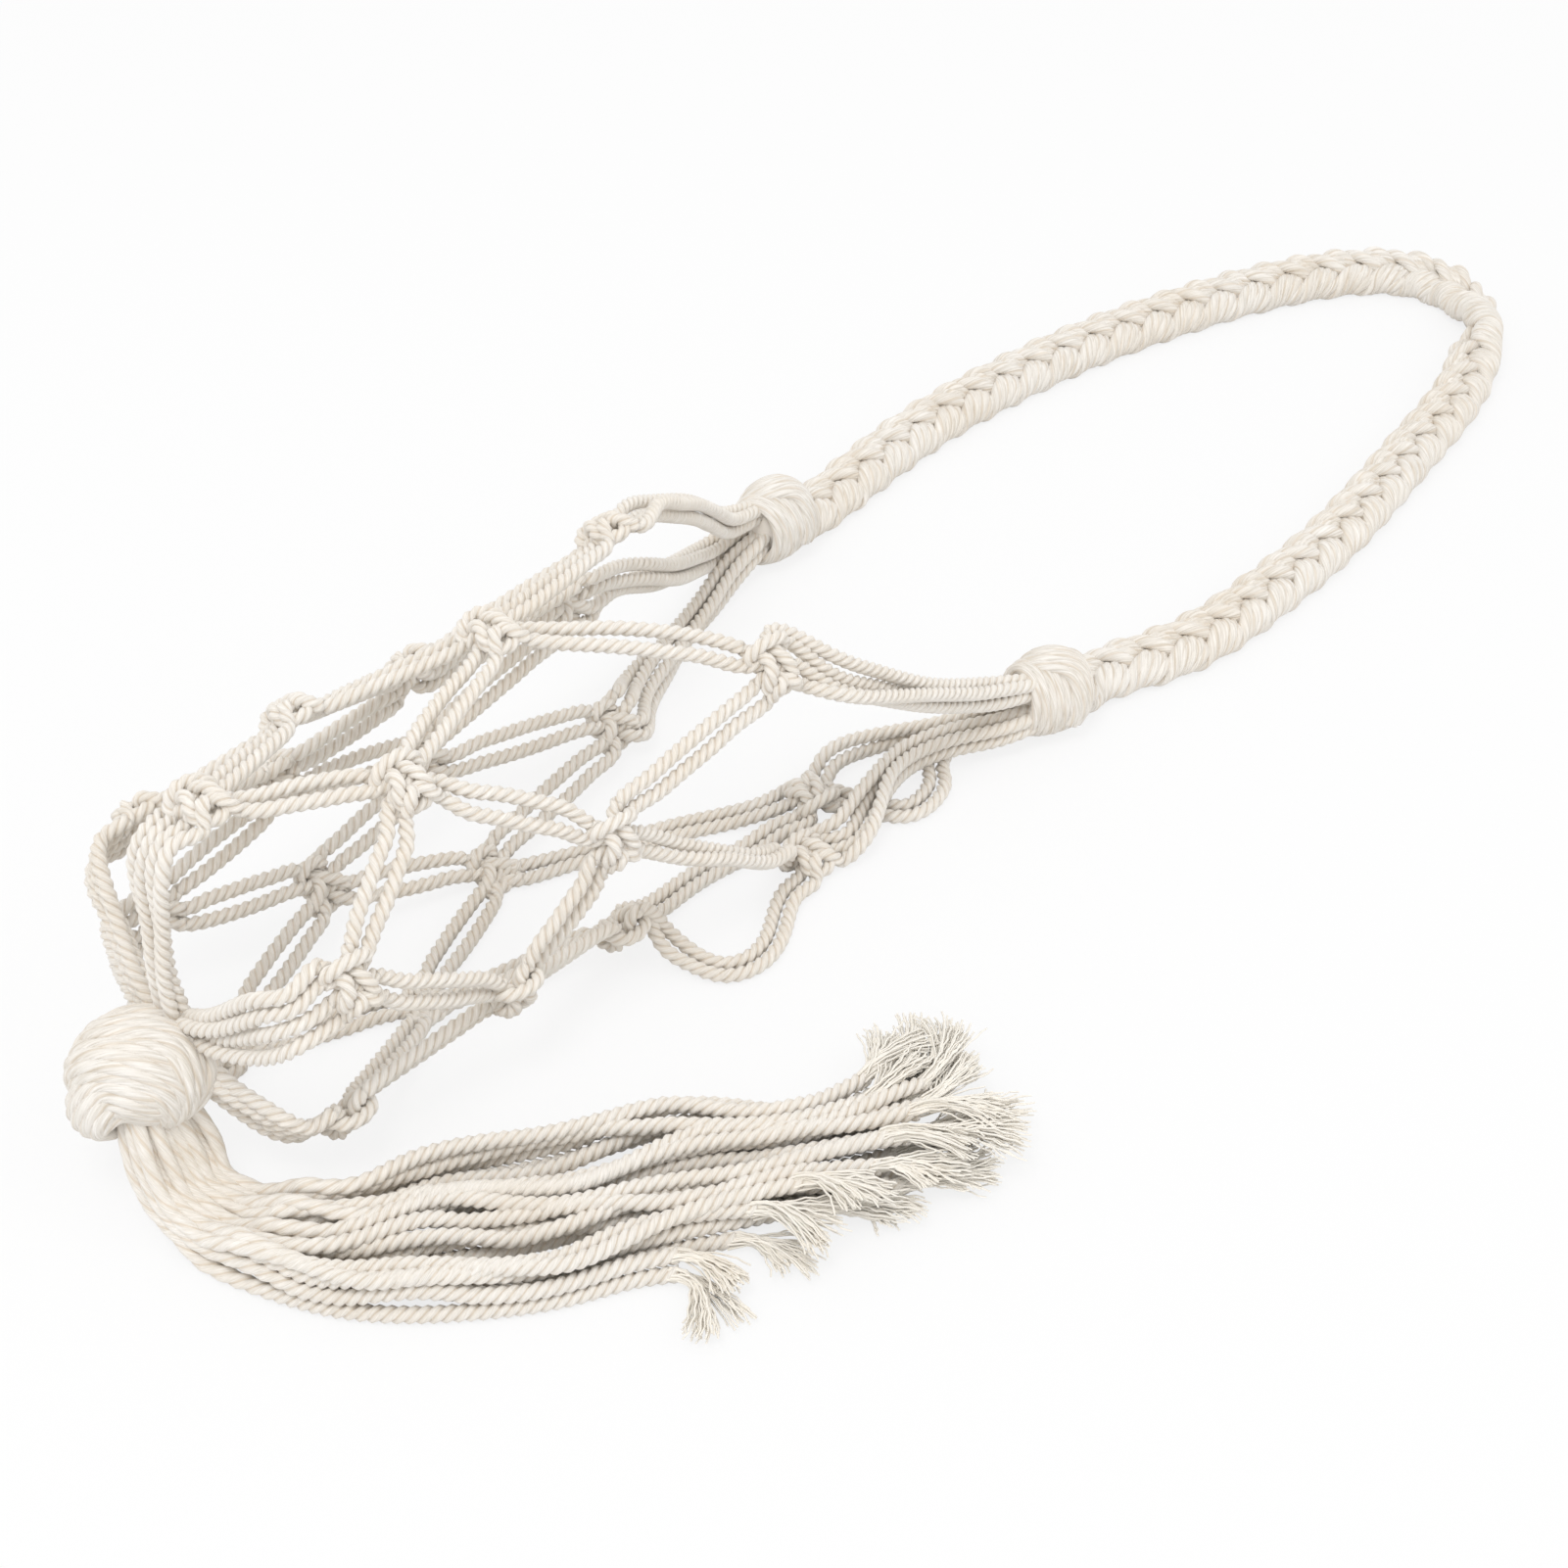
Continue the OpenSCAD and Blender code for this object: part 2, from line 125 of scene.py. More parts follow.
def runAlong(line):
    return np.concatenate([[0], np.cumsum(np.linalg.norm(np.diff(line, axis=0), axis=1))])


def evened(values, reach):
    window = 2 * reach + 1
    return np.convolve(np.pad(values, reach, mode="edge"), np.ones(window) / window, mode="valid")


def keepOnFloor(line, lowest):
    line[:, 2] = np.maximum(line[:, 2], floorZ + lowest)


def anyPhase(rng):
    return rng.uniform(0, 6.28)


# A smooth line through given points, and at which of its steps each of those points lies

lineFit = {"power": 0.8, "fineness": 40}      # power of a span's length, and fine steps for each point


def markedLine(points, step):
    p = np.array(points, float)
    n = len(p)
    spans = np.linalg.norm(np.diff(p, axis=0), axis=1)
    t = np.concatenate([[0], np.cumsum(spans ** lineFit["power"])])
    h = np.diff(t)
    system = np.eye(n)
    known = np.zeros((n, 3))
    for i in range(1, n - 1):
        system[i, i - 1:i + 2] = h[i - 1], 2 * (h[i - 1] + h[i]), h[i]
        known[i] = 6 * ((p[i + 1] - p[i]) / h[i] - (p[i] - p[i - 1]) / h[i - 1])
    bend = np.linalg.solve(system, known)
    fine = np.linspace(0, t[-1], lineFit["fineness"] * n)
    k = np.clip(np.searchsorted(t, fine, side="right") - 1, 0, n - 2)
    a = ((t[k + 1] - fine) / h[k])[:, None]
    b = 1 - a
    hh = (h[k] ** 2 / 6)[:, None]
    line = a * p[k] + b * p[k + 1] + ((a ** 3 - a) * bend[k] + (b ** 3 - b) * bend[k + 1]) * hh
    run = runAlong(line)
    count = max(4, int(round(run[-1] / step)))
    even = np.linspace(0, run[-1], count + 1)
    marks = np.interp(t, fine, run) / run[-1] * count
    return np.stack([np.interp(even, run, line[:, i]) for i in range(3)], 1), marks, run[-1]


def smoothLine(points, step):
    return markedLine(points, step)[0]


# Three-ply cotton cord: a three-lobed section that turns along its line

cordLook = {
    "radius": 1.9,
    "plies": 3,
    "plySides": 4,
    "shape": (1.0, 0.87, 0.62),      # radius on a ply, beside it and in the groove between two
    "pressed": (1.0, 0.97, 0.92),      # the same where cords are pulled tight on each other
    "lay": 7.8,      # length of one full turn of the plies
    "step": 0.65,
}
cordSides = cordLook["plies"] * cordLook["plySides"]


def fromCrest(side):
    i = side % cordLook["plySides"]
    return min(i, cordLook["plySides"] - i)


def makeSection(name, shape):
    curve = bpy.data.curves.new(name, "CURVE")
    curve.dimensions = "2D"
    spline = curve.splines.new("POLY")
    spline.points.add(cordSides - 1)
    spline.use_cyclic_u = True
    for i, point in enumerate(spline.points):
        a = 2 * math.pi * i / cordSides
        r = mm * shape[fromCrest(i)]
        point.co = (r * math.cos(a), r * math.sin(a), 0, 1)
    return addObject(name, curve)


openSection = makeSection("cord_section", cordLook["shape"])
pressedSection = makeSection("pressed_cord_section", cordLook["pressed"])


def meshOfCurve(curve):
    drawn = addObject("curve", curve)
    mesh = bpy.data.meshes.new_from_object(drawn.evaluated_get(bpy.context.evaluated_depsgraph_get()))
    bpy.data.objects.remove(drawn)
    bpy.data.curves.remove(curve)
    return mesh


def meshOfShape(name, shape):
    mesh = bpy.data.meshes.new(name)
    shape.to_mesh(mesh)
    shape.free()
    return mesh


# Cords that press on each other have shallower grooves

def fillGrooves(mesh, line, pressed):
    places = np.empty(len(mesh.vertices) * 3)
    mesh.vertices.foreach_get("co", places)
    middles = (line * mm)[:, None]
    fuller = np.array([cordLook["pressed"][fromCrest(i)] / cordLook["shape"][fromCrest(i)]
                       for i in range(cordSides)]) - 1
    grown = 1 + np.asarray(pressed)[:, None, None] * fuller[None, :, None]
    places = middles + (places.reshape(len(line), cordSides, 3) - middles) * grown
    mesh.vertices.foreach_set("co", places.ravel())


# The UV map of a cord: mm along it, and the share of a turn round it

def mapCord(mesh, run):
    loopVerts = np.empty(len(mesh.loops), np.int32)
    mesh.loops.foreach_get("vertex_index", loopVerts)
    corner = (loopVerts % cordSides).reshape(-1, 4)
    wraps = corner.max(1, keepdims=True) == cordSides - 1
    roundShare = np.where((corner == 0) & wraps, cordSides, corner).ravel() / cordSides
    uv = mesh.uv_layers[0] if mesh.uv_layers else mesh.uv_layers.new(name="UVMap")
    uv.uv.foreach_set("vector", np.stack([run[loopVerts // cordSides], roundShare], 1).ravel())


def ropeMesh(line, radii, section, turned, lay=cordLook["lay"], pressed=None):
    count = len(line)
    run = runAlong(line)
    curve = bpy.data.curves.new("rope", "CURVE")
    curve.dimensions = "3D"
    curve.twist_mode = "MINIMUM"
    curve.bevel_mode = "OBJECT"
    curve.bevel_object = section
    spline = curve.splines.new("POLY")
    spline.points.add(count - 1)
    places = np.ones((count, 4))
    places[:, :3] = line * mm
    spline.points.foreach_set("co", places.ravel())
    layHere = np.ones(count) * lay
    turns = np.concatenate([[0], np.cumsum(np.diff(run) / layHere[1:])])
    spline.points.foreach_set("tilt", turned - 2 * math.pi * turns)
    spline.points.foreach_set("radius", np.ones(count) * radii)
    mesh = meshOfCurve(curve)
    if pressed is not None:
        fillGrooves(mesh, line, pressed)
    mapCord(mesh, run)
    return mesh


def cutRope(mesh, first, last):
    part = bmesh.new()
    part.from_mesh(mesh)
    part.verts.ensure_lookup_table()
    spare = part.verts[:first * cordSides] + part.verts[(last + 1) * cordSides:]
    bmesh.ops.delete(part, geom=spare, context="VERTS")
    bmesh.ops.holes_fill(part, edges=[e for e in part.edges if e.is_boundary], sides=cordSides)
    return meshOfShape("cut", part)


nodeShapes = {}     # what is laid for each piece, until it becomes an object


def addShape(piece, mesh):
    nodeShapes.setdefault(piece, bmesh.new()).from_mesh(mesh)
    bpy.data.meshes.remove(mesh)


def layWhole(piece, mesh):
    addShape(piece, cutRope(mesh, 0, len(mesh.vertices) // cordSides - 1))
    bpy.data.meshes.remove(mesh)


def makePiece(name, body, material, nodes, shape=None):
    mesh = meshOfShape(name, shape or nodeShapes.pop(name))
    mesh.shade_smooth()
    mesh.materials.append(material)
    piece = addObject(name, mesh)
    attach(piece, body)
    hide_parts(*nodes)
    return piece


# Cotton: ivory, a little uneven, with painted shade in the grooves between the plies, and fibres along them

cottonLook = {
    "surface": {"Roughness": 0.88, "Specular IOR Level": 0.25, "Sheen Weight": 0.3, "Sheen Roughness": 0.5},
    "patchScale": 45.0,
    "detail": 3.0,
    "patchSpan": (0.4, 0.75),
    "fibreSpan": (0.3, 0.7),
    "fibreLight": 1.05,
    "fibreWarmth": (1.0, 0.96, 0.89),
    # over this span the painted shade of the groove sets in
    "grooveShadeSpan": (0.3, 0.52),      # 0 is the crest of a ply, 0.5 the groove between two
    "bumpStrength": 0.6,
}
# The groove tone is painted shade: the darker tan that stands for the shade where two plies meet
ivoryTones = {"ivory": (0.872, 0.843, 0.803), "cream": (0.84, 0.79, 0.722), "grooveShade": (0.69, 0.58, 0.45)}
frayedTones = {"ivory": (0.96, 0.935, 0.885), "cream": (0.95, 0.9, 0.82), "grooveShade": (0.92, 0.86, 0.76)}
openFibres = {"perMm": 0.35, "perTurn": 36.0, "darkest": 0.86}
tightFibres = {"perMm": 0.14, "perTurn": 21.0, "darkest": 0.78}


def useNodes(owner):
    owner.use_nodes = True
    return owner.node_tree


def setNode(tree, node, inputs):
    for socket, value in inputs.items():
        if isinstance(value, bpy.types.NodeSocket):
            tree.links.new(value, node.inputs[socket])
        else:
            node.inputs[socket].default_value = value
    return node


def addNode(tree, kind, inputs):
    return setNode(tree, tree.nodes.new(kind), inputs)


def addMath(tree, operation, a, b):
    node = addNode(tree, "ShaderNodeMath", {0: a, 1: b})
    node.operation = operation
    return node.outputs[0]


def addSpan(tree, source, span, top=1.0, shape="LINEAR"):
    node = addNode(tree, "ShaderNodeMapRange", {
        "Value": source, "From Min": span[0], "From Max": span[1], "To Max": top})
    node.interpolation_type = shape
    return node.outputs["Result"]


def addBlend(tree, share, a, b, kind="MIX"):
    node = addNode(tree, "ShaderNodeMixRGB", {"Fac": share, "Color1": a, "Color2": b})
    node.blend_type = kind
    return node.outputs["Color"]


def makeCotton(name, tones, fibres, grooveShadeShare, bumpDepth):
    look = cottonLook
    material = bpy.data.materials.new(name)
    tree = useNodes(material)
    place = tree.nodes.new("ShaderNodeTexCoord").outputs

    # Ivory and cream in soft patches
    patches = addNode(tree, "ShaderNodeTexNoise", {
        "Vector": place["Object"], "Scale": look["patchScale"], "Detail": look["detail"]})
    patchShare = addSpan(tree, patches.outputs["Fac"], look["patchSpan"])
    body = addBlend(tree, patchShare, (*tones["ivory"], 1), (*tones["cream"], 1))

    # Painted shade: a darker, warmer tan in the groove between two plies
    parts = addNode(tree, "ShaderNodeSeparateXYZ", {"Vector": place["UV"]})
    plies = addMath(tree, "MULTIPLY", parts.outputs["Y"], cordLook["plies"])
    ply = addMath(tree, "PINGPONG", plies, 0.5)
    deep = addSpan(tree, ply, look["grooveShadeSpan"], grooveShadeShare, "SMOOTHSTEP")
    shaded = addBlend(tree, deep, body, (*tones["grooveShade"], 1))

    # Fibres along the plies, in tone and in relief
    stretch = addNode(tree, "ShaderNodeMapping", {
        "Vector": place["UV"], "Scale": (fibres["perMm"], fibres["perTurn"], 1.0)})
    streaks = addNode(tree, "ShaderNodeTexNoise", {
        "Vector": stretch.outputs["Vector"], "Scale": 1.0, "Detail": look["detail"]})
    streakShare = addSpan(tree, streaks.outputs["Fac"], look["fibreSpan"])
    dark = [fibres["darkest"] * warm for warm in look["fibreWarmth"]]
    light = (look["fibreLight"],) * 3
    tone = addBlend(tree, streakShare, (*dark, 1), (*light, 1))
    bump = addNode(tree, "ShaderNodeBump", {
        "Height": streaks.outputs["Fac"], "Strength": look["bumpStrength"], "Distance": bumpDepth * mm})
    toned = addBlend(tree, 1.0, shaded, tone, "MULTIPLY")
    setNode(tree, tree.nodes["Principled BSDF"], {
        "Base Color": toned, "Normal": bump.outputs["Normal"], **look["surface"]})
    return material


# The groove share is how strongly the painted shade darkens the grooves between the plies
cordCotton = makeCotton("cord_cotton", ivoryTones, openFibres, grooveShadeShare=0.65, bumpDepth=0.5)
tightCotton = makeCotton("tight_cotton", ivoryTones, tightFibres, grooveShadeShare=0.5, bumpDepth=0.9)
frayedCotton = makeCotton("frayed_cotton", frayedTones, openFibres, grooveShadeShare=0.2, bumpDepth=0.1)


# The tassel: 24 free cords that leave the bottom knot, turn on the floor and fan out

tassel = {
    "left": [[-31.5, -18.5], [-31.5, -32], [-26.5, -48], [-17.5, -65], [-4, -80], [16, -95], [36, -103.5],
             [62, -115], [96, -140]],
    "right": [[-15, -18.5], [-12.5, -27], [-7, -36], [6, -45.5], [24, -51], [46, -64.5], [72, -77.5],
              [92, -99], [116, -113]],
    "reach": [0.78, 0.87, 0.95, 1, 1, 1, 1, 0.97],
    "unevenReach": 0.05,
    "layers": 3,
    "columns": 8,
    "order": (0, 2, 4, 6, 1, 3, 5, 7),      # in each layer the odd columns lie on the even ones
    "nodes": ["tassel_cords_lower", "tassel_cords_middle", "tassel_cords_upper"],
    "rootWidth": 18.0,
    "rootX": -22.0,
    "rootZ": -21.3,
    "folds": 3.3,      # how often the root goes in and out across its width, and how far
    "foldDepth": 0.6,
    "start": 0.045,      # where on the fan a cord comes to the floor
    "points": 15,
    "lowest": 2.0,      # the height of the lowest layer there, and of each layer on it
    "layerRise": 3.0,
    "radius": 2.05,
    "waves": ((1.0, 8), (0.7, 15), (0.35, 27)),
    "sway": 0.07,
    "drift": 0.12,
    "driftWaves": 3.3,
    "variety": (0.6, 1.2),
    "calm": [0.3, 0.55, 0.9],      # how much of that each layer has, so that the lowest covers the floor
    "edge": 0.02,
    "curl": (-3.5, 7.0),      # how far the tips turn aside, on the left and on the right
    "curlWay": (0.7, 0.71),
    "curlShare": 0.14,
    "loosens": (25, 45),      # from how far along, and over what length, a cord opens
    "tightLay": 24.0,
    "tightShare": 0.84,
    "looseShare": 0.16,
    "pathStep": 6,
    "seed": 4,
}


def fanShare(layer, column):
    return (column + (layer + 0.5) / tassel["layers"]) / tassel["columns"]


def fanPoint(t, share):
    n = len(tassel["left"]) - 1
    i = min(int(t * n), n - 1)
    u = t * n - i
    ends = []
    for edge in (tassel["left"], tassel["right"]):
        p = [np.array(q, float) for q in edge]
        a = p[i - 1] if i else p[0] * 2 - p[1]
        b, c = p[i], p[i + 1]
        d = p[i + 2] if i + 2 <= n else p[n] * 2 - p[n - 1]
        ends.append((b * 2 + (c - a) * u + (a * 2 - b * 5 + c * 4 - d) * u * u
                     + (b * 3 - a - c * 3 + d) * u ** 3) / 2)
    return mix(ends[0], ends[1], share)


# Inside the knot, at its mouth and on the way down to the floor
def tasselRoot(layer, share, lift):
    middle, top = tassel["rootX"], tassel["rootZ"]
    x = middle + (share - 0.5) * tassel["rootWidth"]
    fold = tassel["foldDepth"] * math.sin(share * 2 * math.pi * tassel["folds"])
    return [
        np.array([mix(x, middle + 2, 0.6), -2.0 - layer * 1.2, top + 9.0]),
        np.array([mix(x, middle, 0.25), -6.0 - layer * 2.2 - fold, top + 1.0 + layer * 1.6 + fold]),
        np.array([x - 0.5, -12.5 - layer * 2.5 - fold, mix(top, floorZ + lift, 0.62) + fold]),
    ]


def tasselPath(layer, column, rng):
    share = fanShare(layer, column)
    lift = tassel["lowest"] + layer * tassel["layerRise"]
    points = tasselRoot(layer, share, lift)
    beside = min(column + 1, tassel["columns"] - 1)
    far = mix(tassel["reach"][column], tassel["reach"][beside], (layer + 0.5) / tassel["layers"])
    far -= rng.uniform(0, tassel["unevenReach"])
    phases = [anyPhase(rng) for _ in tassel["waves"]]
    calm = tassel["calm"][layer]
    sway = calm * tassel["sway"] * rng.uniform(*tassel["variety"])
    drift = calm * rng.uniform(-1, 1) * tassel["drift"]
    curl = mix(*tassel["curl"], share) * rng.uniform(*tassel["variety"])
    start, edge = tassel["start"], tassel["edge"]
    for i in range(tassel["points"]):
        t = start + (far - start) * i / (tassel["points"] - 1)
        wave = 0.0
        for (high, often), phase in zip(tassel["waves"], phases):
            wave += high * math.sin(t * often + phase)
        placed = share + min(1.0, i / 4) * (sway * wave + drift * math.sin(t * tassel["driftWaves"]))
        placed = min(max(placed, edge + edge * layer), 1.0 - edge * layer)
        tip = max(0.0, (t - far + tassel["curlShare"]) / tassel["curlShare"])
        p = fanPoint(t, placed) + np.array(tassel["curlWay"]) * curl * tip ** 2
        points.append(np.array([p[0], p[1], floorZ + mix(lift, tassel["radius"], min(1.0, i / 3))]))
    return points


# Each cord is laid over those before it, in one long hump where it crosses them

laying = {
    "climbs": (16, 22),      # from how far along, and over what length, a cord rises onto the others
    "near": 2.3,      # how close it lies to the cord below, at the root, and how much more on the fan
    "more": 1.5,
    "opens": (20, 50),
    "top": 14.0,      # the highest that it goes above the floor, and how much less at the tips
    "less": 3.5,
    "falls": (0, 90),
    "hump": 22.0,      # how roundly it goes over another
    "evening": 3,
}


def layOver(line, laid):
    run = runAlong(line[:, :2])
    reach = laying["near"] + laying["more"] * ramp(run, *laying["opens"])
    needed = line[:, 2].copy()
    for other in laid:
        away = np.linalg.norm(line[:, None, :2] - other[None, :, :2], axis=2)
        rise = other[None, :, 2] + np.sqrt(np.maximum(reach[:, None] ** 2 - away ** 2, 0))
        needed = np.maximum(needed, np.where(away < reach[:, None], rise, floorZ).max(1))
    needed = np.minimum(needed, floorZ + laying["top"] - laying["less"] * ramp(run, *laying["falls"]))
    apart = run[:, None] - run[None, :]
    humps = evened((needed[None, :] - apart ** 2 / (2 * laying["hump"])).max(1), laying["evening"])
    line[:, 2] += ramp(run, *laying["climbs"]) * np.maximum(humps - line[:, 2], 0)
    return line


def layTasselCord(layer, column, rng, laid):
    line = layOver(smoothLine(tasselPath(layer, column, rng), cordLook["step"]), laid)
    run = runAlong(line)
    loosened = ramp(run, *tassel["loosens"])
    radii = tassel["radius"] * (tassel["tightShare"] + tassel["looseShare"] * loosened)
    lay = mix(tassel["tightLay"], cordLook["lay"], loosened)
    name = f"tassel_cord_{layer * tassel['columns'] + column + 1:02d}"
    layWhole(name, ropeMesh(line, radii, openSection, anyPhase(rng), lay, 1 - loosened))
    piece = makePiece(name, "tassel", cordCotton, [tassel["nodes"][layer]])
    return line


def layTassel():
    rng = random.Random(tassel["seed"])
    lines, ends = [], []
    for layer in range(tassel["layers"]):
        for column in tassel["order"]:
            line = layTasselCord(layer, column, rng, lines)
            lines.append(line)
            ends.append((line[-1], unit(line[-1] - line[-6]), fanShare(layer, column)))
    return ends


tasselEnds = layTassel()
print("tassel cords laid:", len(tasselEnds))


# The frayed ends: each ply opens into fine yarns

fray = {
    "plies": 3,
    "yarns": 22,
    "steps": 10,
    "shortest": 16.0,
    "longest": 23.0,
    "uneven": (0.86, 1.06),
    "thickness": 0.3,
    "thinning": (1.1, 0.35),      # the thickness at the root, and how much less it is at the tip
    "turn": (-1.1, 1.2),      # which way the ends lean, on the left and on the right of the fan
    "leaning": (0.3, 1.1),
    "spread": 0.28,
    "rise": (-0.02, 0.3),
    "riseAcross": 0.25,
    "curl": (-0.35, 0.35),
    "crimp": (0.14, 0.3),
    "crimpPerMm": 1.5,
    "plyPlace": 0.9,
    "back": 2.0,      # how far inside the cord's end a yarn begins
    "scatter": {"end": 0.18, "ply": 0.08, "yarn": 0.12, "curl": 0.15, "phase": 0.5, "root": 0.5},
    "seed": 11,
}


def drawYarn(curve, p, level, sideways, yarn):
    spline = curve.splines.new("POLY")
    spline.points.add(fray["steps"])
    for i, point in enumerate(spline.points):
        t = i / fray["steps"]
        bend = yarn["crimp"] * min(1, t * 3)
        wave = t * yarn["long"] * fray["crimpPerMm"] + yarn["phase"]
        heading = yarn["turn"] * min(1, t * 2.2) + yarn["curl"] * t * t + bend * math.sin(wave)
        lift = yarn["rise"] * (1 - 1.4 * t) + 0.5 * bend * math.cos(wave)
        step = level * math.cos(heading) + sideways * math.sin(heading) + np.array([0, 0, lift])
        if i:
            p = p + unit(step) * yarn["long"] / fray["steps"]
        p[2] = max(p[2], floorZ + fray["thickness"] * 1.2)
        point.co = (*(p * mm), 1)
        point.radius = fray["thinning"][0] - fray["thinning"][1] * t


def drawPly(curve, end, level, lean, ply, rng):
    place, _, share = end
    scatter = fray["scatter"]
    sideways = np.array([-level[1], level[0], 0])
    turn = lean + (ply - 1) * fray["spread"] + rng.gauss(0, scatter["ply"])
    rise = rng.uniform(*fray["rise"]) + fray["riseAcross"] * share
    long = rng.uniform(fray["shortest"], fray["longest"])
    curl = rng.uniform(*fray["curl"]) + 0.5 * lean
    a = 2 * math.pi * ply / fray["plies"] + rng.uniform(0, 1)
    aside = sideways * math.cos(a) * fray["plyPlace"] + np.array([0, 0, fray["plyPlace"] * math.sin(a)])
    root = place + aside - level * fray["back"]
    phase = anyPhase(rng)
    crimp = rng.uniform(*fray["crimp"])
    for _ in range(fray["yarns"]):
        yarn = {"crimp": crimp, "turn": turn + rng.gauss(0, scatter["yarn"]),
                "rise": rise + rng.gauss(0, scatter["yarn"]),
                "long": long * rng.uniform(*fray["uneven"]),
                "curl": curl + rng.gauss(0, scatter["curl"]),
                "phase": phase + rng.gauss(0, scatter["phase"])}
        begin = root + np.array([rng.gauss(0, scatter["root"]) for _ in range(3)])
        drawYarn(curve, begin, level, sideways, yarn)


def frayEnds(ends):
    rng = random.Random(fray["seed"])
    curve = bpy.data.curves.new("fray", "CURVE")
    curve.dimensions = "3D"
    curve.bevel_depth = fray["thickness"] * mm
    curve.bevel_resolution = 0
    curve.use_fill_caps = True
    for end in ends:
        _, ahead, share = end
        lean = mix(*fray["turn"], share) * rng.uniform(*fray["leaning"])
        lean += rng.gauss(0, fray["scatter"]["end"])
        for ply in range(fray["plies"]):
            drawPly(curve, end, unit([ahead[0], ahead[1], 0]), lean, ply, rng)
    addShape("tassel_fringe_yarns", meshOfCurve(curve))
    makePiece("tassel_fringe_yarns", "tassel", frayedCotton, ["tassel_fringe"])


frayEnds(tasselEnds)
print("ends frayed")


# The net: where its knots lie, row by row

net = {
    "rowX": [12.5, 51.0, 91.0, 143.0],
    "shiftShare": [[0, 0, 0.06, -0.04, 0, 0], [0, -0.04, -0.05, 0.12, 0, 0.03],
                   [0, 0.06, -0.11, 0.1, 0, 0], [-0.03, 0.02, 0, 0, 0, 0]],
    "turn": [[22, 79, 154.5, 219, 288, 340], [0, 48, 112, 201, 258, 318],
             [15, 78, 162.5, 226, 290, 338], [2, 50, 141.6, 180, 180, 312]],
    "radius": 39.5,
    "columns": 6,
    "group": 4,      # cords in each knot
    "pitch": 3.9,
    "bundlePitch": 4.1,
    "knotEnd": 2.5,      # how far from a knot's middle its cords part
    "pairPlaces": (0.22, 0.36, 0.5, 0.64, 0.78),
    "spread": 1.2,
    "bow": (-0.5, 0.9),
    "mostPressed": 0.8,
    "pressedRun": (22, 30),      # mm of a cord that is pressed at its start and at its end
    "evening": 4,
}
rowLetters = "abcd"
lastRow = len(rowLetters) - 1
slackKnots = {
    3: {"at": (150.5, -37.5), "turn": 4, "side": -1},
    4: {"at": (166.0, -22.0), "turn": -8, "side": 1},
}
slackRoutes = {      # from the third row, by column and way
    (2, 1): {"points": [[90, -39, 49.5], [104, -40.2, 39.5], [119, -41, 28], [134, -39.5, 16],
                        [143, -35.2, 8.5]],
             "side": across(162.5), "order": 1},
    (3, -1): {"points": [[99, -30.2, 14], [103, -35, 8.5], [105.5, -42, 3.6], [109.5, -49.5, 2.1],
                         [117, -52.5, 2.1], [125, -50.5, 2.1], [132, -46, 2.1], [139, -42.8, 3]],
              "side": np.array([1.0, 0, 0]), "order": -1},
    (3, 1): {"points": [[99, -24.5, 9], [107, -23.5, 5], [118, -22.5, 2.4], [131, -22.5, 2.1],
                        [144, -24, 2.1], [154, -25, 3]],
             "side": np.array([0, 1.0, 0]), "order": 1},
    (4, -1): {"points": [[95.5, 9.5, 2.05], [107, 5, 2.05], [120, -0.5, 2.05], [134, -6, 2.05],
                         [147, -12.5, 2.1], [155, -16.4, 3]],
              "side": np.array([0, 1.0, 0]), "order": 1},
}


def knotX(row, column):
    shift = net["shiftShare"][row][column % net["columns"]]
    return net["rowX"][row] + shift * (net["rowX"][1] - net["rowX"][0])


def knotAngle(row, column):
    return net["turn"][row][column % net["columns"]] + 360 * (column // net["columns"])


# The square knot seen from outside: along the net, round it, and out from it

squareKnot = {
    "near": [(-4.4, -6.8, 0.5), (-3.2, -4.9, 0.9), (-2.5, -3.0, 2.9), (-2.7, -0.6, 4.8), (-3.6, 2.0, 4.5),
             (-4.2, 4.3, 2.3), (-2.8, 6.1, 0.9), (0, 7.1, 0.9), (2.5, 6.0, 1.5), (2.8, 3.8, 3.7),
             (1.9, 0.6, 4.8), (1.0, -2.2, 4.0), (1.4, -4.6, 1.6), (3.9, -6.9, 0.5)],
    "fillers": [(-5.9, -2.7, 0.4), (-3.4, -1.7, 1.5), (-1.1, -1.4, 2.4), (1.3, -1.4, 2.4), (3.6, -1.9, 1.3),
                (5.9, -3.0, 0.4)],
    "far": [(-4.6, 7.9, 0.7), (-3.2, 6.2, 2.9), (-2.0, 4.8, 4.6), (-0.8, 3.0, 2.5), (-1.6, 0.2, -0.1),
            (-3.8, -2.0, -0.1), (-5.2, -3.8, 1.5), (-3.6, -5.1, 3.8), (-0.4, -5.4, 4.9), (3.0, -4.9, 4.5),
            (5.1, -3.7, 2.5), (4.7, -1.9, 0.1), (2.6, 0.4, -0.2), (0.8, 2.0, 0.7), (0.5, 3.8, 3.4),
            (1.6, 5.4, 4.2), (3.2, 6.9, 2.5), (4.9, 8.1, 0.6)],
    "middle": 0.6,
    "reach": 6.6,
    "high": 4.9,
    "narrow": 0.87,
    "thin": 0.94,
    "stretch": (0.92, 1.08),
    "tall": (0.9, 1.05),
    "lean": (-0.12, 0.12),
    "floorGap": 1.75,      # what stays between a knot's outer cord and the floor
    "slackLift": 2.1,
    "slackHigh": 0.85,
}


def templatePoints(position):
    if position in (1, 2):
        sign = 1 if position == 1 else -1
        return [(u, v * sign, w) for u, v, w in squareKnot["fillers"]]
    return squareKnot["near" if position == 0 else "far"]


def slackPoint(slack, u, v, w):
    t = math.radians(slack["turn"])
    ahead = np.array([math.cos(t), math.sin(t), 0])
    left = np.array([-math.sin(t), math.cos(t), 0]) * slack["side"]
    place = np.array([*slack["at"], floorZ + squareKnot["slackLift"] + w * squareKnot["slackHigh"]])
    return place + ahead * u + left * v


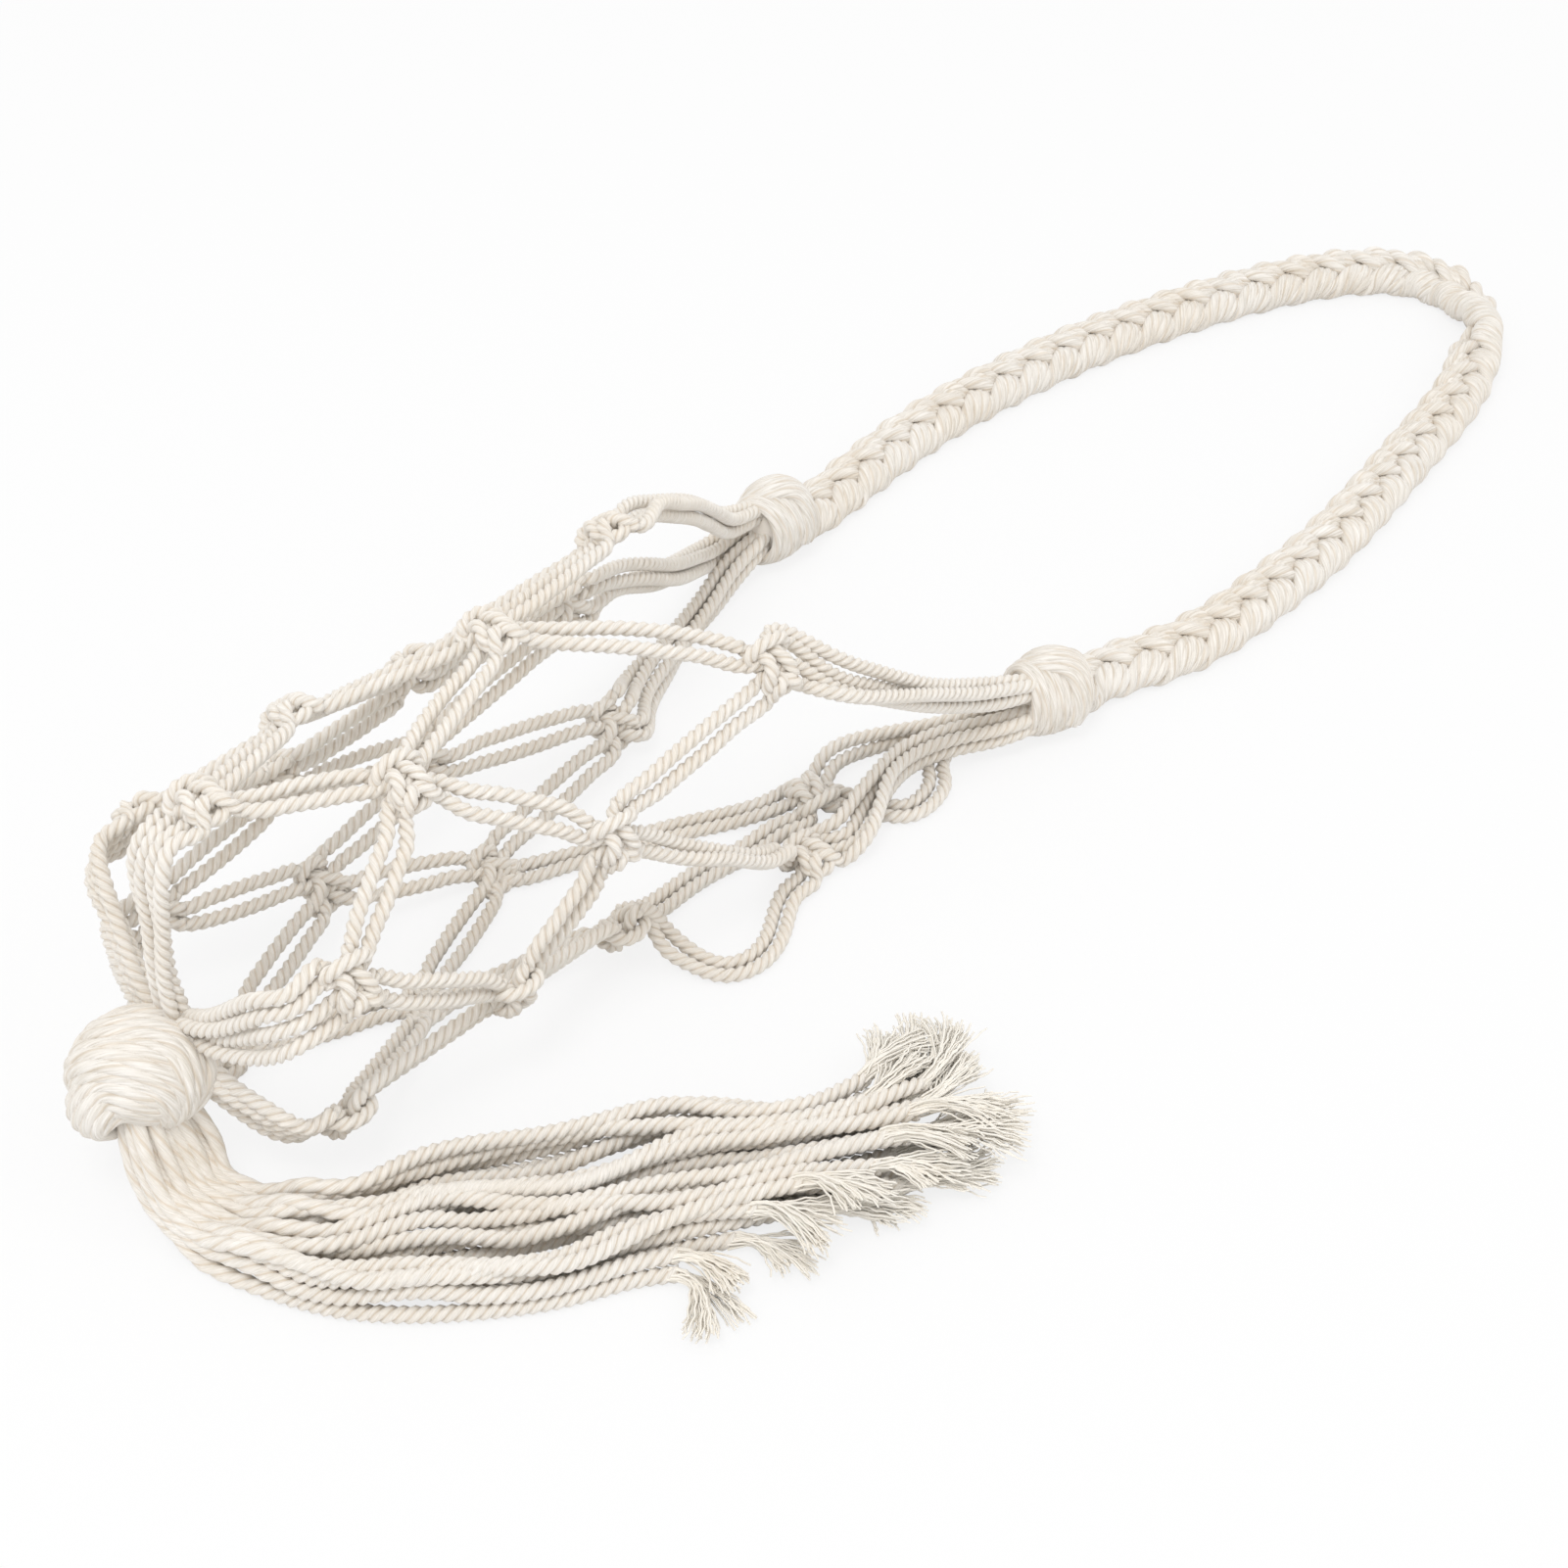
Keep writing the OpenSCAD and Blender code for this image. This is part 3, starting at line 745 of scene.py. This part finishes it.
def knotPoints(row, column, position):
    rng = random.Random(100 * row + 10 * column + 7)
    stretch = rng.uniform(*squareKnot["stretch"])
    tall = rng.uniform(*squareKnot["tall"])
    lean = rng.uniform(*squareKnot["lean"])
    out = math.sin(math.radians(knotAngle(row, column)))
    if out < -0.5:      # a knot under the net is squashed on the floor
        room = floorZ / out - squareKnot["floorGap"] - net["radius"]
        tall = min(tall, room / squareKnot["high"])
    slack = slackKnots.get(column) if row == lastRow else None
    found = []
    for u, v, w in templatePoints(position):
        v = (v - squareKnot["middle"]) * squareKnot["narrow"] * stretch
        u = u + lean * v * max(0.0, 1 - abs(u) / squareKnot["reach"])
        if slack:
            found.append(slackPoint(slack, u, v, w))
        else:
            angle = knotAngle(row, column) + math.degrees(v / net["radius"])
            found.append(around(knotX(row, column) + u, angle, net["radius"] + w * tall))
    return found


# The pairs of cords between the rows, which are set half a column apart

def pairSide(position):
    return -1 if position % 2 == 0 else 1


def columnBelow(row, column, way):
    return column + (way + 1) // 2 - (1 if row == 1 else 0)


def slackPairPoints(route, position):
    line = aboveFloor(route["points"])
    along = headings(line)
    top = len(line) - 1
    turn = -1 if np.dot(leftOf(along[0]), route["side"]) < 0 else 1
    k = pairSide(position) * route["order"]
    found = []
    for i in range(1, top + 1):
        side = mix(route["side"], leftOf(along[i]) * turn, min(1, 2 * i / top))
        found.append(line[i] + squared(side, along[i]) * k * net["pitch"] / 2)
    return found


def pairPoints(row, column, way, position, rng):
    if row == 2 and (column, way) in slackRoutes:
        return slackPairPoints(slackRoutes[(column, way)], position)
    below = columnBelow(row, column, way)
    if below < 0:
        column, below = column + net["columns"], below + net["columns"]
    arc = math.radians(1) * net["radius"]
    x1, x2 = knotX(row, column) + net["knotEnd"], knotX(row + 1, below) - net["knotEnd"]
    s1 = knotAngle(row, column) * arc + way * net["pitch"]
    s2 = knotAngle(row + 1, below) * arc - way * net["pitch"]
    run = math.hypot(x2 - x1, s2 - s1)
    bow = rng.uniform(*net["bow"])
    found = []
    for t in net["pairPlaces"]:
        off = pairSide(position) * (net["pitch"] + (net["spread"] + bow) * math.sin(math.pi * t)) / 2
        x = mix(x1, x2, t) - off * (s2 - s1) / run
        s = mix(s1, s2, t) + off * (x2 - x1) / run
        found.append(around(x, s / arc, net["radius"]))
    return found


ball = {
    "at": np.array([-18.5, -2.5, -10.5]),
    "half": np.array([13.5, 11.3, 11.2]),
    "axes": np.array([[0.7145, -0.6997, 0], [0.4768, 0.4869, 0.7319], [-0.5121, -0.5229, 0.6815]]),
    "lobe": np.array([-8.6, -7.0, 1.4]),      # the fold of the bundle that stands out at the lower left
    "lobeHalf": np.array([5.4, 5.2, 6.4]),
    "liftRadius": 13.0,
    "pitch": 2.05,
    "radius": 1.9,
}
handleKnots = {
    "near_handle_knot": {"at": np.array([233.0, -43.0, -30.4]), "ahead": (0.95, -0.26, -0.12)},
    "far_handle_knot": {"at": np.array([233.0, 60.0, -30.4]), "ahead": (0.95, 0.18, -0.12)},
}


# The groups of four leave the back of the bottom knot and open out flat over the rim of the net's base

base = {
    "starts": [(8.5, 4.0, 1.5), (8.5, 0.5, 5.0), (9.0, -2.0, 6.0), (8.5, -5.0, -1.0), (8.5, 2.5, -4.5),
               (8.5, 5.0, -1.5)],
    "sag": {2: (0.2, 0.6, 1.6, 3.0), 4: (-1.0, -0.4, 0.6, 1.6)},
    "places": (0.0, 0.3, 0.66, 1.0),
    "rimX": -2.5,
    "rimRadius": 35.9,
    "overX": 1.9,
    "flat": (-1.5, -0.5, 0.5, 1.5),      # the four cords side by side
    "wide": (-0.5, -0.5, 0.5, 0.5),      # and two by two as they leave the knot
    "deep": (-0.5, 0.5, -0.5, 0.5),
    "widePitch": 3.2,
    "deepPitch": 3.0,
    "flatPitch": 3.6,
    "overPitch": 3.4,
    "uneven": 0.5,
    "seed": 50,
}


def basePoints(column, position):
    a = net["turn"][0][column]
    start = ball["at"] + np.array(base["starts"][column])
    rim = around(base["rimX"], a, base["rimRadius"])
    side = squared(across(a), unit(rim - start))
    depth = np.cross(side, unit(rim - start))
    sag = base["sag"][column][position] if column in base["sag"] else 0
    rng = random.Random(column * net["group"] + position + base["seed"])
    found = [ball["at"] + np.array([3.0, 0, 0])]
    for t in base["places"]:
        wide = mix(base["wide"][position] * base["widePitch"], base["flat"][position] * base["flatPitch"],
                   smoothShare(t))
        uneven = rng.uniform(-base["uneven"], base["uneven"]) * (0.2 < t < 0.9)
        wide += sag * math.sin(math.pi * min(1.0, t * 0.75)) + uneven
        deep = base["deep"][position] * base["deepPitch"] * (1 - t)
        bulge = np.array([-1.0, 0, 0]) * math.sin(math.pi * t)
        found.append(mix(start, rim, t) + side * wide + depth * deep + bulge)
    aside = base["flat"][position] * base["overPitch"] + sag * 0.5
    found.append(around(base["overX"], a, net["radius"]) + across(a) * aside)
    return found


# The groups of four from the last row, flat where they leave it and bundled at the handle knots

neck = {
    "routes": [
        [[157, 42.5, 40], [171, 46, 33], [186, 51.5, 23], [200, 57.9, 15.2], [212, 62.8, 9.8],
         [226, 63.2, 10.2]],
        [[157, 30, 69.5], [171, 36.5, 60.5], [186, 43.5, 48.5], [200, 50.5, 34.5], [213, 57, 22.5],
         [226, 60, 17.2]],
        [[157, -36, 58.5], [171, -39.8, 48], [187, -40.5, 36.5], [202, -40.5, 27], [214, -41.2, 21],
         [226, -43, 17.2]],
        [[161, -39.5, 4.2], [170, -37.5, 5.8], [180, -34, 8.0], [192, -32, 7.4], [204, -36, 8.0],
         [214, -41.5, 8.4], [226, -46.2, 10.2]],
        [[177, -20.5, 4.2], [188, -20.8, 4.2], [200, -25.5, 4.2], [211, -33.5, 6.6], [226, -39.6, 10.2]],
        [[157, 33.5, 7.6], [171, 41, 6], [186, 47.5, 4.3], [200, 52.3, 4.3], [212, 55.5, 6.8],
         [226, 56.8, 10.2]],
    ],
    "slackLift": 4.5,
    "foldStep": 30,      # degrees by which the flat group folds up from point to point
    "drawn": 0.94,
    "drawnEnd": 0.62,
    "inKnot": 0.45,
}
# Two cords of the slack fifth group curl out on the floor, under the fourth, and back
neckCurl = {
    "column": 4,
    "positions": (0, 1),
    "points": [[168.5, -23.5, 3.6], [173, -29, 2.1], [176, -36, 2.1], [180.5, -41.8, 2.1],
               [187.5, -42.6, 2.1], [194.5, -39.5, 2.1], [199, -34.5, 2.3], [205.5, -33.2, 4.0],
               [214, -37, 6.6], [226, -41, 8.0]],
    "apart": 2.0,      # to either side of the curl's middle line
}


def curlPoints(position):
    off = neckCurl["apart"] if position == neckCurl["positions"][0] else -neckCurl["apart"]
    places = aboveFloor(neckCurl["points"])
    return [p + unit(leftOf(ahead)) * off for p, ahead in zip(places, headings(places))]


def bundleOffset(k, fold):
    s = -1 if k % 2 == 0 else 1
    f = math.radians(fold)
    if k < 2:
        return np.array([s * 0.5, -0.5 * math.cos(f)]) * net["bundlePitch"]
    return np.array([s * (0.5 + math.sin(f)), 0.5 * math.cos(f)]) * net["bundlePitch"]


def neckPoints(column, position):
    slack = slackKnots.get(column)
    a = net["turn"][lastRow][column]
    first = np.array([0, -1.0, 0]) if slack else across(a)
    last = np.array([0, 1.0 if first[1] > 0 else -1.0, 0])
    if slack:
        start = np.array([*slack["at"], floorZ + neck["slackLift"]]) + [net["knotEnd"], 0, 0]
    else:
        start = around(knotX(lastRow, column) + net["knotEnd"], a, net["radius"])
    places = [start] + aboveFloor(neck["routes"][column])
    top = len(places) - 1
    along = headings(places)
    along[0] = along[top] = np.array([1.0, 0, 0])
    k = ((3, 1, 0, 2) if slack and slack["side"] > 0 else (2, 0, 1, 3))[position]
    found = []
    for i in range(1, top + 1):
        side = squared(mix(first, last, min(1, i / (top - 1))), along[i])
        drawn = neck["drawn"] if i < top else neck["drawnEnd"]
        offset = bundleOffset(k, max(0, 90 - neck["foldStep"] * i)) * drawn
        found.append(places[i] + side * offset[0] + np.cross(side, along[i]) * offset[1])
    knot = handleKnots["far_handle_knot" if found[-1][1] > 0 else "near_handle_knot"]["at"]
    found.append(mix(found[-1] + [6.0, 0, 0], knot + [0, 0, 0.5], neck["inKnot"]))
    if column == neckCurl["column"] and position in neckCurl["positions"]:
        found[:-1] = curlPoints(position)
    return found


# One cord from the bottom knot through a knot of each row to a handle knot, and where each piece is cut

def routeCord(column, position, rng):
    points = basePoints(column, position)
    cuts = [(f"base_cords_{column + 1}", 0, len(points))]
    for row in range(lastRow + 1):
        inKnot = knotPoints(row, column, position)
        cuts.append((f"knot_{rowLetters[row]}{column + 1}", len(points), len(points) + len(inKnot) - 1))
        points += inKnot
        if row == lastRow:
            break
        way = -1 if position < 2 else 1
        between = pairPoints(row, column, way, position, rng)
        cuts.append((f"mesh_cords_{rowLetters[row:row + 2]}", len(points) - 1, len(points) + len(between)))
        points += between
        column = columnBelow(row, column, way) % net["columns"]
        position = position % 2 + (0 if way == 1 else 2)
    toHandle = neckPoints(column, position)
    cuts.append((f"neck_cords_{column + 1}", len(points) - 1, len(points) + len(toHandle) - 1))
    return points + toHandle, cuts


def layNetCord(column, position):
    rng = random.Random(column * net["group"] + position)
    points, cuts = routeCord(column, position, rng)
    line, marks, length = markedLine(points, cordLook["step"])
    keepOnFloor(line, cordLook["radius"] * 0.92)
    radii = np.full(len(line), cordLook["radius"])
    for node, first, last in cuts:
        if node.startswith("knot"):
            radii[int(marks[first]):int(marks[last])] *= squareKnot["thin"]
    run = runAlong(line)
    start, end = net["pressedRun"]
    pressed = (np.clip(1 - run / start, 0, net["mostPressed"])
               + np.clip(1 - (run[-1] - run) / end, 0, net["mostPressed"]))
    mesh = ropeMesh(line, evened(radii, net["evening"]), openSection, anyPhase(rng), pressed=pressed)
    for node, first, last in cuts:
        addShape(node, cutRope(mesh, int(round(marks[first])), int(round(marks[last]))))
    bpy.data.meshes.remove(mesh)
    return length


for column in range(net["columns"]):
    lengths = [layNetCord(column, position) for position in range(net["group"])]
    print("net cords of group", column + 1, "laid,", [round(length) for length in lengths], "mm long")

for node in sorted(nodeShapes):
    shape = nodeShapes.pop(node)
    makePiece(f"{node}_cotton", "net", cordCotton, [node], shape)
print("net pieces made")


# Bands of cords side by side over the round of a knot, higher along the middle of each band

winding = {"step": 1.0, "ropeStep": 0.75, "lay": 34.0, "turnEach": 0.7, "floorShare": 0.9}


def layBand(piece, centre, axes, points, count, pitch, radius, crown=0.0, turned=0.0):
    line = smoothLine([centre + np.array(p, float) @ axes for p in points], winding["step"])
    along = headings(line)
    for j in range(count):
        off = (j - (count - 1) / 2) * pitch
        high = 1 + crown * (1 - (2 * off / (count * pitch)) ** 2)
        laid = []
        for p, ahead in zip(line, along):
            out = p - centre
            side = unit(np.cross(ahead, unit(out)))
            q = out + side * off
            laid.append(centre + q * (np.linalg.norm(out) * high / np.linalg.norm(q)))
        rope = smoothLine(laid[:-1:2] + [laid[-1]], winding["ropeStep"])
        keepOnFloor(rope, radius * winding["floorShare"])
        layWhole(piece, ropeMesh(rope, radius, pressedSection, turned + j * winding["turnEach"],
                                 winding["lay"]))


def layCore(piece, centre, axes, halfWidths):
    core = bmesh.new()
    bmesh.ops.create_icosphere(core, subdivisions=3, radius=1.0)
    for v in core.verts:
        v.co = Vector((centre + (np.array(v.co) * halfWidths) @ axes) * mm)
    addShape(piece, meshOfShape("core", core))


# The bottom knot: broad turns of the whole bundle, placed to the right, up and out towards the camera

def onBall(right, up, face, lift):
    half = ball["half"]
    p = np.array([right / half[0], up / half[1]])
    length = np.linalg.norm(p)
    if length > 1:
        p = p / length
        length = 1.0
    q = np.array([p[0] * half[0], p[1] * half[1], face * half[2] * math.sqrt(max(0, 1 - length ** 2))])
    return q * (1 + lift / ball["liftRadius"])


def front(right, up, lift=0.0):
    return onBall(right, up, 1, lift)


def back(right, up, lift=0.0):
    return onBall(right, up, -1, lift)


ballTurns = [
    {"count": 4, "crown": 0.1, "points": [
        back(-12, -2, -1), front(-14.5, 2), front(-12, 5.6), front(-7.4, 7.6), front(-1.4, 8.2),
        front(4.4, 7.2), front(8.4, 4.4), front(10.2, -0.2), front(9.8, -5.6), front(7.2, -9.4),
        back(4, -10.5)]},
    {"count": 3, "crown": 0.06, "points": [
        back(-11, 9), front(-6, 11.6), front(0.5, 12), front(7.5, 9.6), front(12.4, 5), front(14.2, -0.5),
        front(13.0, -5.6), front(9.6, -9.6), back(6, -10.5)]},
    {"count": 4, "crown": 0.1, "points": [
        back(-12.5, -5, 1), front(-14.8, -2.6, 1.2), front(-11.4, 0.8, 1), front(-7.4, 2.0, 1),
        front(-2.5, 1.8, 1), front(3.2, -0.2, 0.8), front(6.9, -3.6, 0.4), front(7.6, -7.4),
        front(6.0, -10), back(3, -11)]},
    {"count": 5, "crown": 0.1, "points": [
        front(7.4, -9.4, -1), front(3.4, -7.4, 0.2), front(-1.6, -5.0, 0.9), (-6.2, -4.6, 9.2),
        (-9.6, -6.8, 8.0), (-11.8, -9.6, 5.2), (-12.4, -11.4, 0.5), (-10, -11.6, -4)]},
    {"count": 2, "crown": 0.05, "points": [
        front(6.5, -10.6, -1), front(1.6, -9.8), (-4.0, -8.8, 7.2), (-7.2, -10.4, 6.2), (-9.4, -12.2, 3.2),
        (-9.6, -12.4, -1.5), (-6, -11, -5)]},
    {"count": 6, "crown": 0.05, "points": [
        back(-9, 9), back(-3, 4), back(3, -1), back(9, -6), back(12, -9)]},
    {"count": 6, "crown": 0.05, "points": [
        back(9, 9), back(3, 8), back(-4, 3), back(-10, -3), back(-11, -9)]},
]


def windBall(piece):
    axes = ball["axes"]
    layCore(piece, ball["at"], axes, ball["half"])
    layCore(piece, ball["at"] + ball["lobe"] @ axes, axes, ball["lobeHalf"])
    for turn in ballTurns:
        layBand(piece, ball["at"], axes, pitch=ball["pitch"], radius=ball["radius"], **turn)
    makePiece(piece, "net", tightCotton, ["bottom_knot"])


windBall("bottom_knot_turns")
print("bottom knot wound")


# The handle knots: upright turns round the bundle, and a band that goes over them to the plait

grip = {
    "cores": [(0.0, (9.2, 9.2, 9.4)), (2.4, (7.6, 8.0, 8.4))],      # how far back, and half widths
    "rings": 9,
    "first": -9.0,
    "pitch": 2.0,
    "radius": 9.3,
    "length": 15.5,      # half the length of the round that the rings follow
    "tall": 1.06,
    "lean": 0.8,
    "cord": 1.5,
    "over": {"count": 5, "pitch": 1.9, "radius": 1.6, "crown": 0.06, "points": [
        (-2.4, 8.0, -1), (-3.6, 7.6, 3.5), (-3.6, 5.4, 7.8), (-2.2, 2.2, 10.3), (0.4, -0.8, 11.2),
        (3.4, -3.6, 9.9), (5.0, -6.8, 5.6), (4.8, -8.6, 0.2), (3.6, -8.0, -4.6)]},
}


def gripRing(e):
    r = grip["radius"] * math.sqrt(1 - ((e + 0.5) / grip["length"]) ** 2)
    return [(e + grip["lean"] * math.sin(math.radians(a + 40)), r * math.cos(math.radians(a)),
             grip["tall"] * r * math.sin(math.radians(a))) for a in range(0, 400, 30)]


def tieHandleKnot(node, knot):
    ahead = unit(knot["ahead"])
    side = unit(leftOf(ahead))
    axes = np.array([ahead, side, np.cross(ahead, side)])
    piece = f"{node}_turns"
    for behind, halfWidths in grip["cores"]:
        layCore(piece, knot["at"] - ahead * behind, axes, halfWidths)
    for i in range(grip["rings"]):
        ring = gripRing(grip["first"] + i * grip["pitch"])
        layBand(piece, knot["at"], axes, ring, 1, grip["pitch"], grip["cord"], turned=i * 1.1)
    layBand(piece, knot["at"], axes, **grip["over"])
    makePiece(piece, "net", tightCotton, [node])


for node, knot in handleKnots.items():
    tieHandleKnot(node, knot)
print("handle knots tied")


# The plait: three strands of four cords that cross in turn along the loop

plait = {
    "loop": [[262, -47], [276, -51.5], [293, -53.7], [314, -53.5], [338, -52], [367, -47.5], [400, -41],
             [430, -34], [447, -27], [462.5, -18.5], [470.5, -7.5], [473.5, 4.5], [470, 17], [459, 28.5],
             [435, 41.5], [401, 53], [364, 61.5], [325, 65.8], [304, 66.3], [282, 64.6], [262, 62]],
    "ends": [[[240.5, -43.0], [252.2, -44.1]], [[252.2, 60.8], [240.5, 60.0]]],
    "strands": 3,
    "height": 5.2,
    "pitch": 37.0,
    "side": 5.0,
    "rise": 2.7,
    "rolls": (0.385, 0.505),      # where along the loop the flat plait rolls over to its other face
    "rollLift": 1.2,
    "lean": 18,
    "leanEnds": 12,      # the lean is whole from one twelfth of the loop to eleven twelfths
    "cords": [(-2.7, -0.35), (-0.9, 0.4), (0.9, 0.4), (2.7, -0.35)],
    "radius": 1.92,
    "lay": 17.0,
    "turnEach": 0.8,
    "step": 1.0,
    "ropeStep": 0.75,
    "floorShare": 0.9,
}
plaitRoute = plait["ends"][0] + plait["loop"] + plait["ends"][1]
plaitMiddle, _, plaitLength = markedLine([[*p, 0.0] for p in plaitRoute], plait["step"])
plaitTurns = round(plaitLength / plait["pitch"])


# The flat of the plait, its upper side and the height of its middle, at a share of the loop

def plaitFrame(share, ahead):
    first, last = plait["rolls"]
    rolled = min(1.0, max(0.0, (share - first) / (last - first)))
    ends = plait["leanEnds"]
    lean = math.radians(plait["lean"]) * min(1.0, share * ends, (1 - share) * ends)
    roll = (math.pi + 2 * lean) * (1 - smoothShare(rolled)) - lean
    left = leftOf(ahead)
    flat = left * math.cos(roll) + np.array([0, 0, math.sin(roll)])
    high = np.array([0, 0, math.cos(roll)]) - left * math.sin(roll)
    return flat, high, floorZ + plait["height"] + plait["rollLift"] * math.sin(roll) ** 2


def strandPath(strand):
    places, normals = [], []
    for i, (p, ahead) in enumerate(zip(plaitMiddle, headings(plaitMiddle))):
        share = i / (len(plaitMiddle) - 1)
        phase = 2 * math.pi * (share * plaitTurns + strand / plait["strands"])
        flat, high, lift = plaitFrame(share, ahead)
        places.append(p + flat * plait["side"] * math.sin(phase)
                      + high * plait["rise"] * math.sin(2 * phase) + [0, 0, lift])
        c = math.cos(phase)
        face = math.pi / 2 * (1 - 1.5 * c + 0.5 * c ** 3)      # the strand folds over at each edge
        normals.append(high * math.cos(face) + flat * math.sin(face))
    return places, normals


def layStrand(strand):
    piece = f"plait_strand_{strand + 1}_cords"
    places, normals = strandPath(strand)
    along = headings(places)
    for j, (side, up) in enumerate(plait["cords"]):
        laid = []
        for p, ahead, normal in zip(places, along, normals):
            flat = unit(np.cross(ahead, normal))
            laid.append(p + flat * side + np.cross(flat, ahead) * up)
        rope = smoothLine(laid[:-1:3] + [laid[-1]], plait["ropeStep"])
        keepOnFloor(rope, plait["radius"] * plait["floorShare"])
        turned = strand + j * plait["turnEach"]
        layWhole(piece, ropeMesh(rope, plait["radius"], pressedSection, turned, plait["lay"]))
    makePiece(piece, "handle", tightCotton, [f"plait_strand_{strand + 1}"])


for strand in range(plait["strands"]):
    layStrand(strand)
print("plait laid,", round(plaitLength), "mm along the loop")

for section in (openSection, pressedSection):
    bpy.data.objects.remove(section)


# A plain pale floor and soft studio light

studio = {
    "floor": 0.85,
    "floorSize": 3.0,
    "glow": 0.98,
    "shade": 0.82,
    "world": 0.96,
    "white": 1.0,
    "key": {"place": (-0.35, -0.2, 1.2), "aim": (0.15, 0, 0), "size": 0.5, "power": 5.0},
    "fill": {"place": (0.9, -0.9, 0.9), "aim": (0.2, 0, 0), "size": 1.0, "power": 1.6},
}


def directShare(tree):
    seen = tree.nodes.new("ShaderNodeLightPath").outputs
    share = seen["Is Camera Ray"]
    for kind in ("Is Glossy Ray", "Is Transmission Ray"):
        share = addMath(tree, "MAXIMUM", share, seen[kind])
    return share


def blendShaders(tree, share, plain, seen, output):
    both = addNode(tree, "ShaderNodeMixShader", {"Fac": share, 1: plain, 2: seen})
    setNode(tree, tree.nodes[output], {"Surface": both.outputs["Shader"]})


def makeFloor():
    shape = bmesh.new()
    bmesh.ops.create_grid(shape, x_segments=1, y_segments=1, size=studio["floorSize"])
    mesh = meshOfShape("floor", shape)
    mesh.transform(Matrix.Translation((0, 0, floorZ * mm)))
    material = bpy.data.materials.new("pale_floor")
    mesh.materials.append(material)
    tree = useNodes(material)
    matt = setNode(tree, tree.nodes["Principled BSDF"], {
        "Base Color": (studio["floor"],) * 3 + (1,), "Roughness": 1.0, "Specular IOR Level": 0.0})
    glow = addNode(tree, "ShaderNodeEmission", {"Color": (studio["glow"],) * 3 + (1,)})
    share = addMath(tree, "MULTIPLY", directShare(tree), studio["shade"])
    blendShaders(tree, share, matt.outputs["BSDF"], glow.outputs["Emission"], "Material Output")
    floor = addObject("floor", mesh)


def makeWorld():
    world = bpy.data.worlds.new("studio")
    tree = useNodes(world)
    soft = setNode(tree, tree.nodes["Background"], {"Color": (1, 1, 1, 1), "Strength": studio["world"]})
    white = addNode(tree, "ShaderNodeBackground", {"Color": (1, 1, 1, 1), "Strength": studio["white"]})
    blendShaders(tree, directShare(tree), soft.outputs["Background"], white.outputs["Background"],
                 "World Output")
    scene.world = world


def makeLamp(name, look):
    data = bpy.data.lights.new(name, "AREA")
    data.shape = "DISK"
    data.size = look["size"]
    data.energy = look["power"]
    lamp = addObject(name, data)
    lamp.location = look["place"]
    aim = Vector(look["aim"]) - Vector(look["place"])
    lamp.rotation_euler = aim.to_track_quat("-Z", "Y").to_euler()


makeFloor()
makeWorld()
makeLamp("key_lamp", studio["key"])
makeLamp("fill_lamp", studio["fill"])
print("studio lit")
